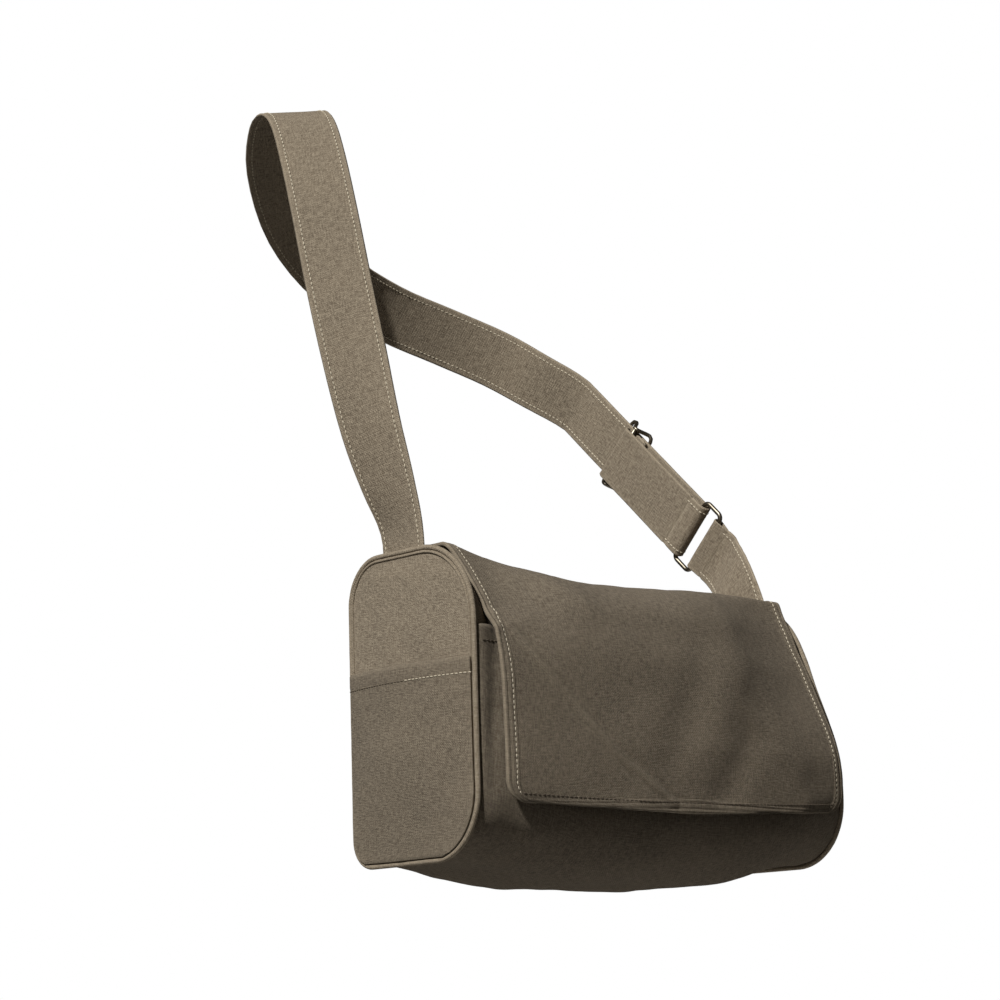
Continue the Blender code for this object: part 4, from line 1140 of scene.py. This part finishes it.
merge = -ringLength - 0.012
route = [Vector(p) for p, _ in tabRoute] + [onRun(merge - 0.014, turnLevel), onRun(merge, turnLevel)]
facing = [Vector(n) for _, n in tabRoute] + [normalRun, normalRun]
centres, normals = dense(catmull(route, 4), catmull(facing, 4), 0.004)
webbing("strapTabCloth", centres, normals, strapWidth, clothShape["strap"], "strap", "strap_tab", 33)
tabLayer = clothShape["strap"] / 2
points, facings = turnAt(-ringLength, turnLevel, ringRod + 0.0010 + tabLayer / 2, -100, 100, 12)
centres = [onRun(merge - 0.002, turnLevel - tabLayer / 2), *points, onRun(merge - 0.002, turnLevel + tabLayer / 2)]
normals = [-normalRun, *facings, normalRun]
centres, normals = dense(centres, normals, 0.003)
webbing("strapTabLoopCloth", centres, normals, 0.0498, tabLayer, "strap", None, 34, False)


def wireFrame(halfS, halfW, corner, level, steps):
    path = []
    for signS, signW, start in ((1, 1, 0), (-1, 1, 90), (-1, -1, 180), (1, -1, 270)):
        for k in range(steps + 1):
            a = math.radians(start + 90 * k / steps)
            s = signS * (halfS - corner) + corner * math.cos(a)
            w = signW * (halfW - corner) + corner * math.sin(a)
            path.append((s, level(s), w))
    return path


path = [onRun(s - ringLength / 2, n, w) for s, n, w in
        wireFrame(ringLength / 2, ringHalf, 0.005, lambda s: turnLevel, 8)]
piece = tubeMesh("strapRingMetal", path, ringRod, 16, metal, True, tuple(normalRun))
attach(piece, "metal", "strap", "strap_ring")


def archLevel(s):
    return 0.010 * smooth(abs(s) / 0.011)


rails = []
for side in (1, -1):
    steps = [side * mix(0.010, -0.010, k / 16) for k in range(17)]
    rails += [(s, archLevel(s), side * ringHalf) for s in steps]
    end = -side
    rails += [(end * 0.0128, 0.010, side * (ringHalf - 0.0012)), (end * 0.014, 0.010, side * (ringHalf - 0.004))]
    rails += [(end * 0.014, 0.010, side * w) for w in (0.018, 0.0, -0.018)]
    rails += [(end * 0.014, 0.010, -side * (ringHalf - 0.004)), (end * 0.0128, 0.010, -side * (ringHalf - 0.0012))]
path = [onRun(adjusterAt + s, n, w) for s, n, w in rails]
piece = tubeMesh("adjusterFrameMetal", path, 0.00175, 14, metal, True, tuple(normalRun))
attach(piece, "metal", "adjuster", "strap_adjuster")
path = [onRun(adjusterAt, 0.0, w) for w in (-ringHalf, -0.010, 0.010, ringHalf)]
piece = tubeMesh("adjusterBarMetal", path, 0.00165, 14, metal, False, tuple(normalRun))
attach(piece, "metal", "adjuster")

print("stitches")
for label, store, thread in (("Pale", paleStitches, paleThread), ("Dark", darkStitches, darkThread)):
    for body, paths in store.items():
        words = "".join(part.capitalize() for part in body.split("_"))
        piece = rowOf(f"stitches{label}{words}", paths, stitchTree, stitchSize, thread, body)

print("floor, lights and camera")
low = cadBox[0][2] - floorDrop
mesh = bpy.data.meshes.new("floor")
middleOf = [(a + b) / 2 for a, b in zip(*cadBox)]
ring = [(middleOf[0] + 0.75 * math.cos(a), middleOf[1] + 0.75 * math.sin(a), low) for a in span(0, 6.2, 0.1)]
mesh.from_pydata(ring, [], [tuple(range(len(ring)))])
mesh.materials.append(plainMaterial("paleFloor", (0.66, 0.65, 0.64), 0.8))
floor = bpy.data.objects.new("floor", mesh)
bpy.context.scene.collection.objects.link(floor)

glow = bpy.data.materials.new("backdropWhite")
glow.use_nodes = True
glow.node_tree.nodes.clear()
shine = addNode(glow.node_tree, "ShaderNodeEmission", Color=(1.0, 1.0, 1.0, 1.0), Strength=1.0)
surface = glow.node_tree.nodes.new("ShaderNodeOutputMaterial")
glow.node_tree.links.new(shine.outputs[0], surface.inputs["Surface"])
dome = bmesh.new()
bmesh.ops.create_icosphere(dome, subdivisions=4, radius=5.5)
mesh = bpy.data.meshes.new("backdrop")
dome.to_mesh(mesh)
dome.free()
mesh.materials.append(glow)
backdrop = bpy.data.objects.new("backdrop", mesh)
bpy.context.scene.collection.objects.link(backdrop)
for name in ("visible_diffuse", "visible_glossy", "visible_transmission", "visible_shadow", "visible_volume_scatter"):
    setattr(backdrop, name, False)

world = bpy.data.worlds.new("studio")
world.use_nodes = True
world.node_tree.nodes["Background"].inputs[0].default_value = (*lightLook["worldColour"], 1.0)
world.node_tree.nodes["Background"].inputs[1].default_value = lightLook["world"]
bpy.context.scene.world = world
sun = bpy.data.lights.new("key", "SUN")
sun.energy = lightLook["keyStrength"]
sun.angle = math.radians(lightLook["keyAngle"])
sun.color = (1.0, 0.985, 0.96)
key = bpy.data.objects.new("key", sun)
key.rotation_euler = Vector(lightLook["keyFrom"]).to_track_quat("Z", "Y").to_euler()
bpy.context.scene.collection.objects.link(key)
panel = bpy.data.lights.new("fill", "AREA")
panel.energy = lightLook["fillEnergy"]
panel.size = 1.6
fill = bpy.data.objects.new("fill", panel)
fill.location = Vector((0.9, -1.6, 0.1)) + datum
fill.rotation_euler = (fill.location - datum - Vector((0, 0, 0.2))).to_track_quat("Z", "Y").to_euler()
bpy.context.scene.collection.objects.link(fill)

azimuth, elevation, roll = (math.radians(cameraShot[k]) for k in ("azimuth", "elevation", "roll"))
back = Vector((math.sin(azimuth) * math.cos(elevation), -math.cos(azimuth) * math.cos(elevation),
               math.sin(elevation)))
right = (-back).cross(Vector((0, 0, 1))).normalized()
up = right.cross(-back)
right, up = (math.cos(roll) * right + math.sin(roll) * up, -math.sin(roll) * right + math.cos(roll) * up)
lens = bpy.data.cameras.new("camera")
lens.lens = cameraShot["lens"]
lens.sensor_width = 36.0
lens.clip_start = 0.05
camera = bpy.data.objects.new("camera", lens)
place = Matrix((right, up, back)).transposed().to_4x4()
place.translation = Vector(cameraShot["target"]) + datum + back * cameraShot["distance"]
camera.matrix_world = place
bpy.context.scene.collection.objects.link(camera)
bpy.context.scene.camera = camera
bpy.context.scene.view_settings.view_transform = "Standard"
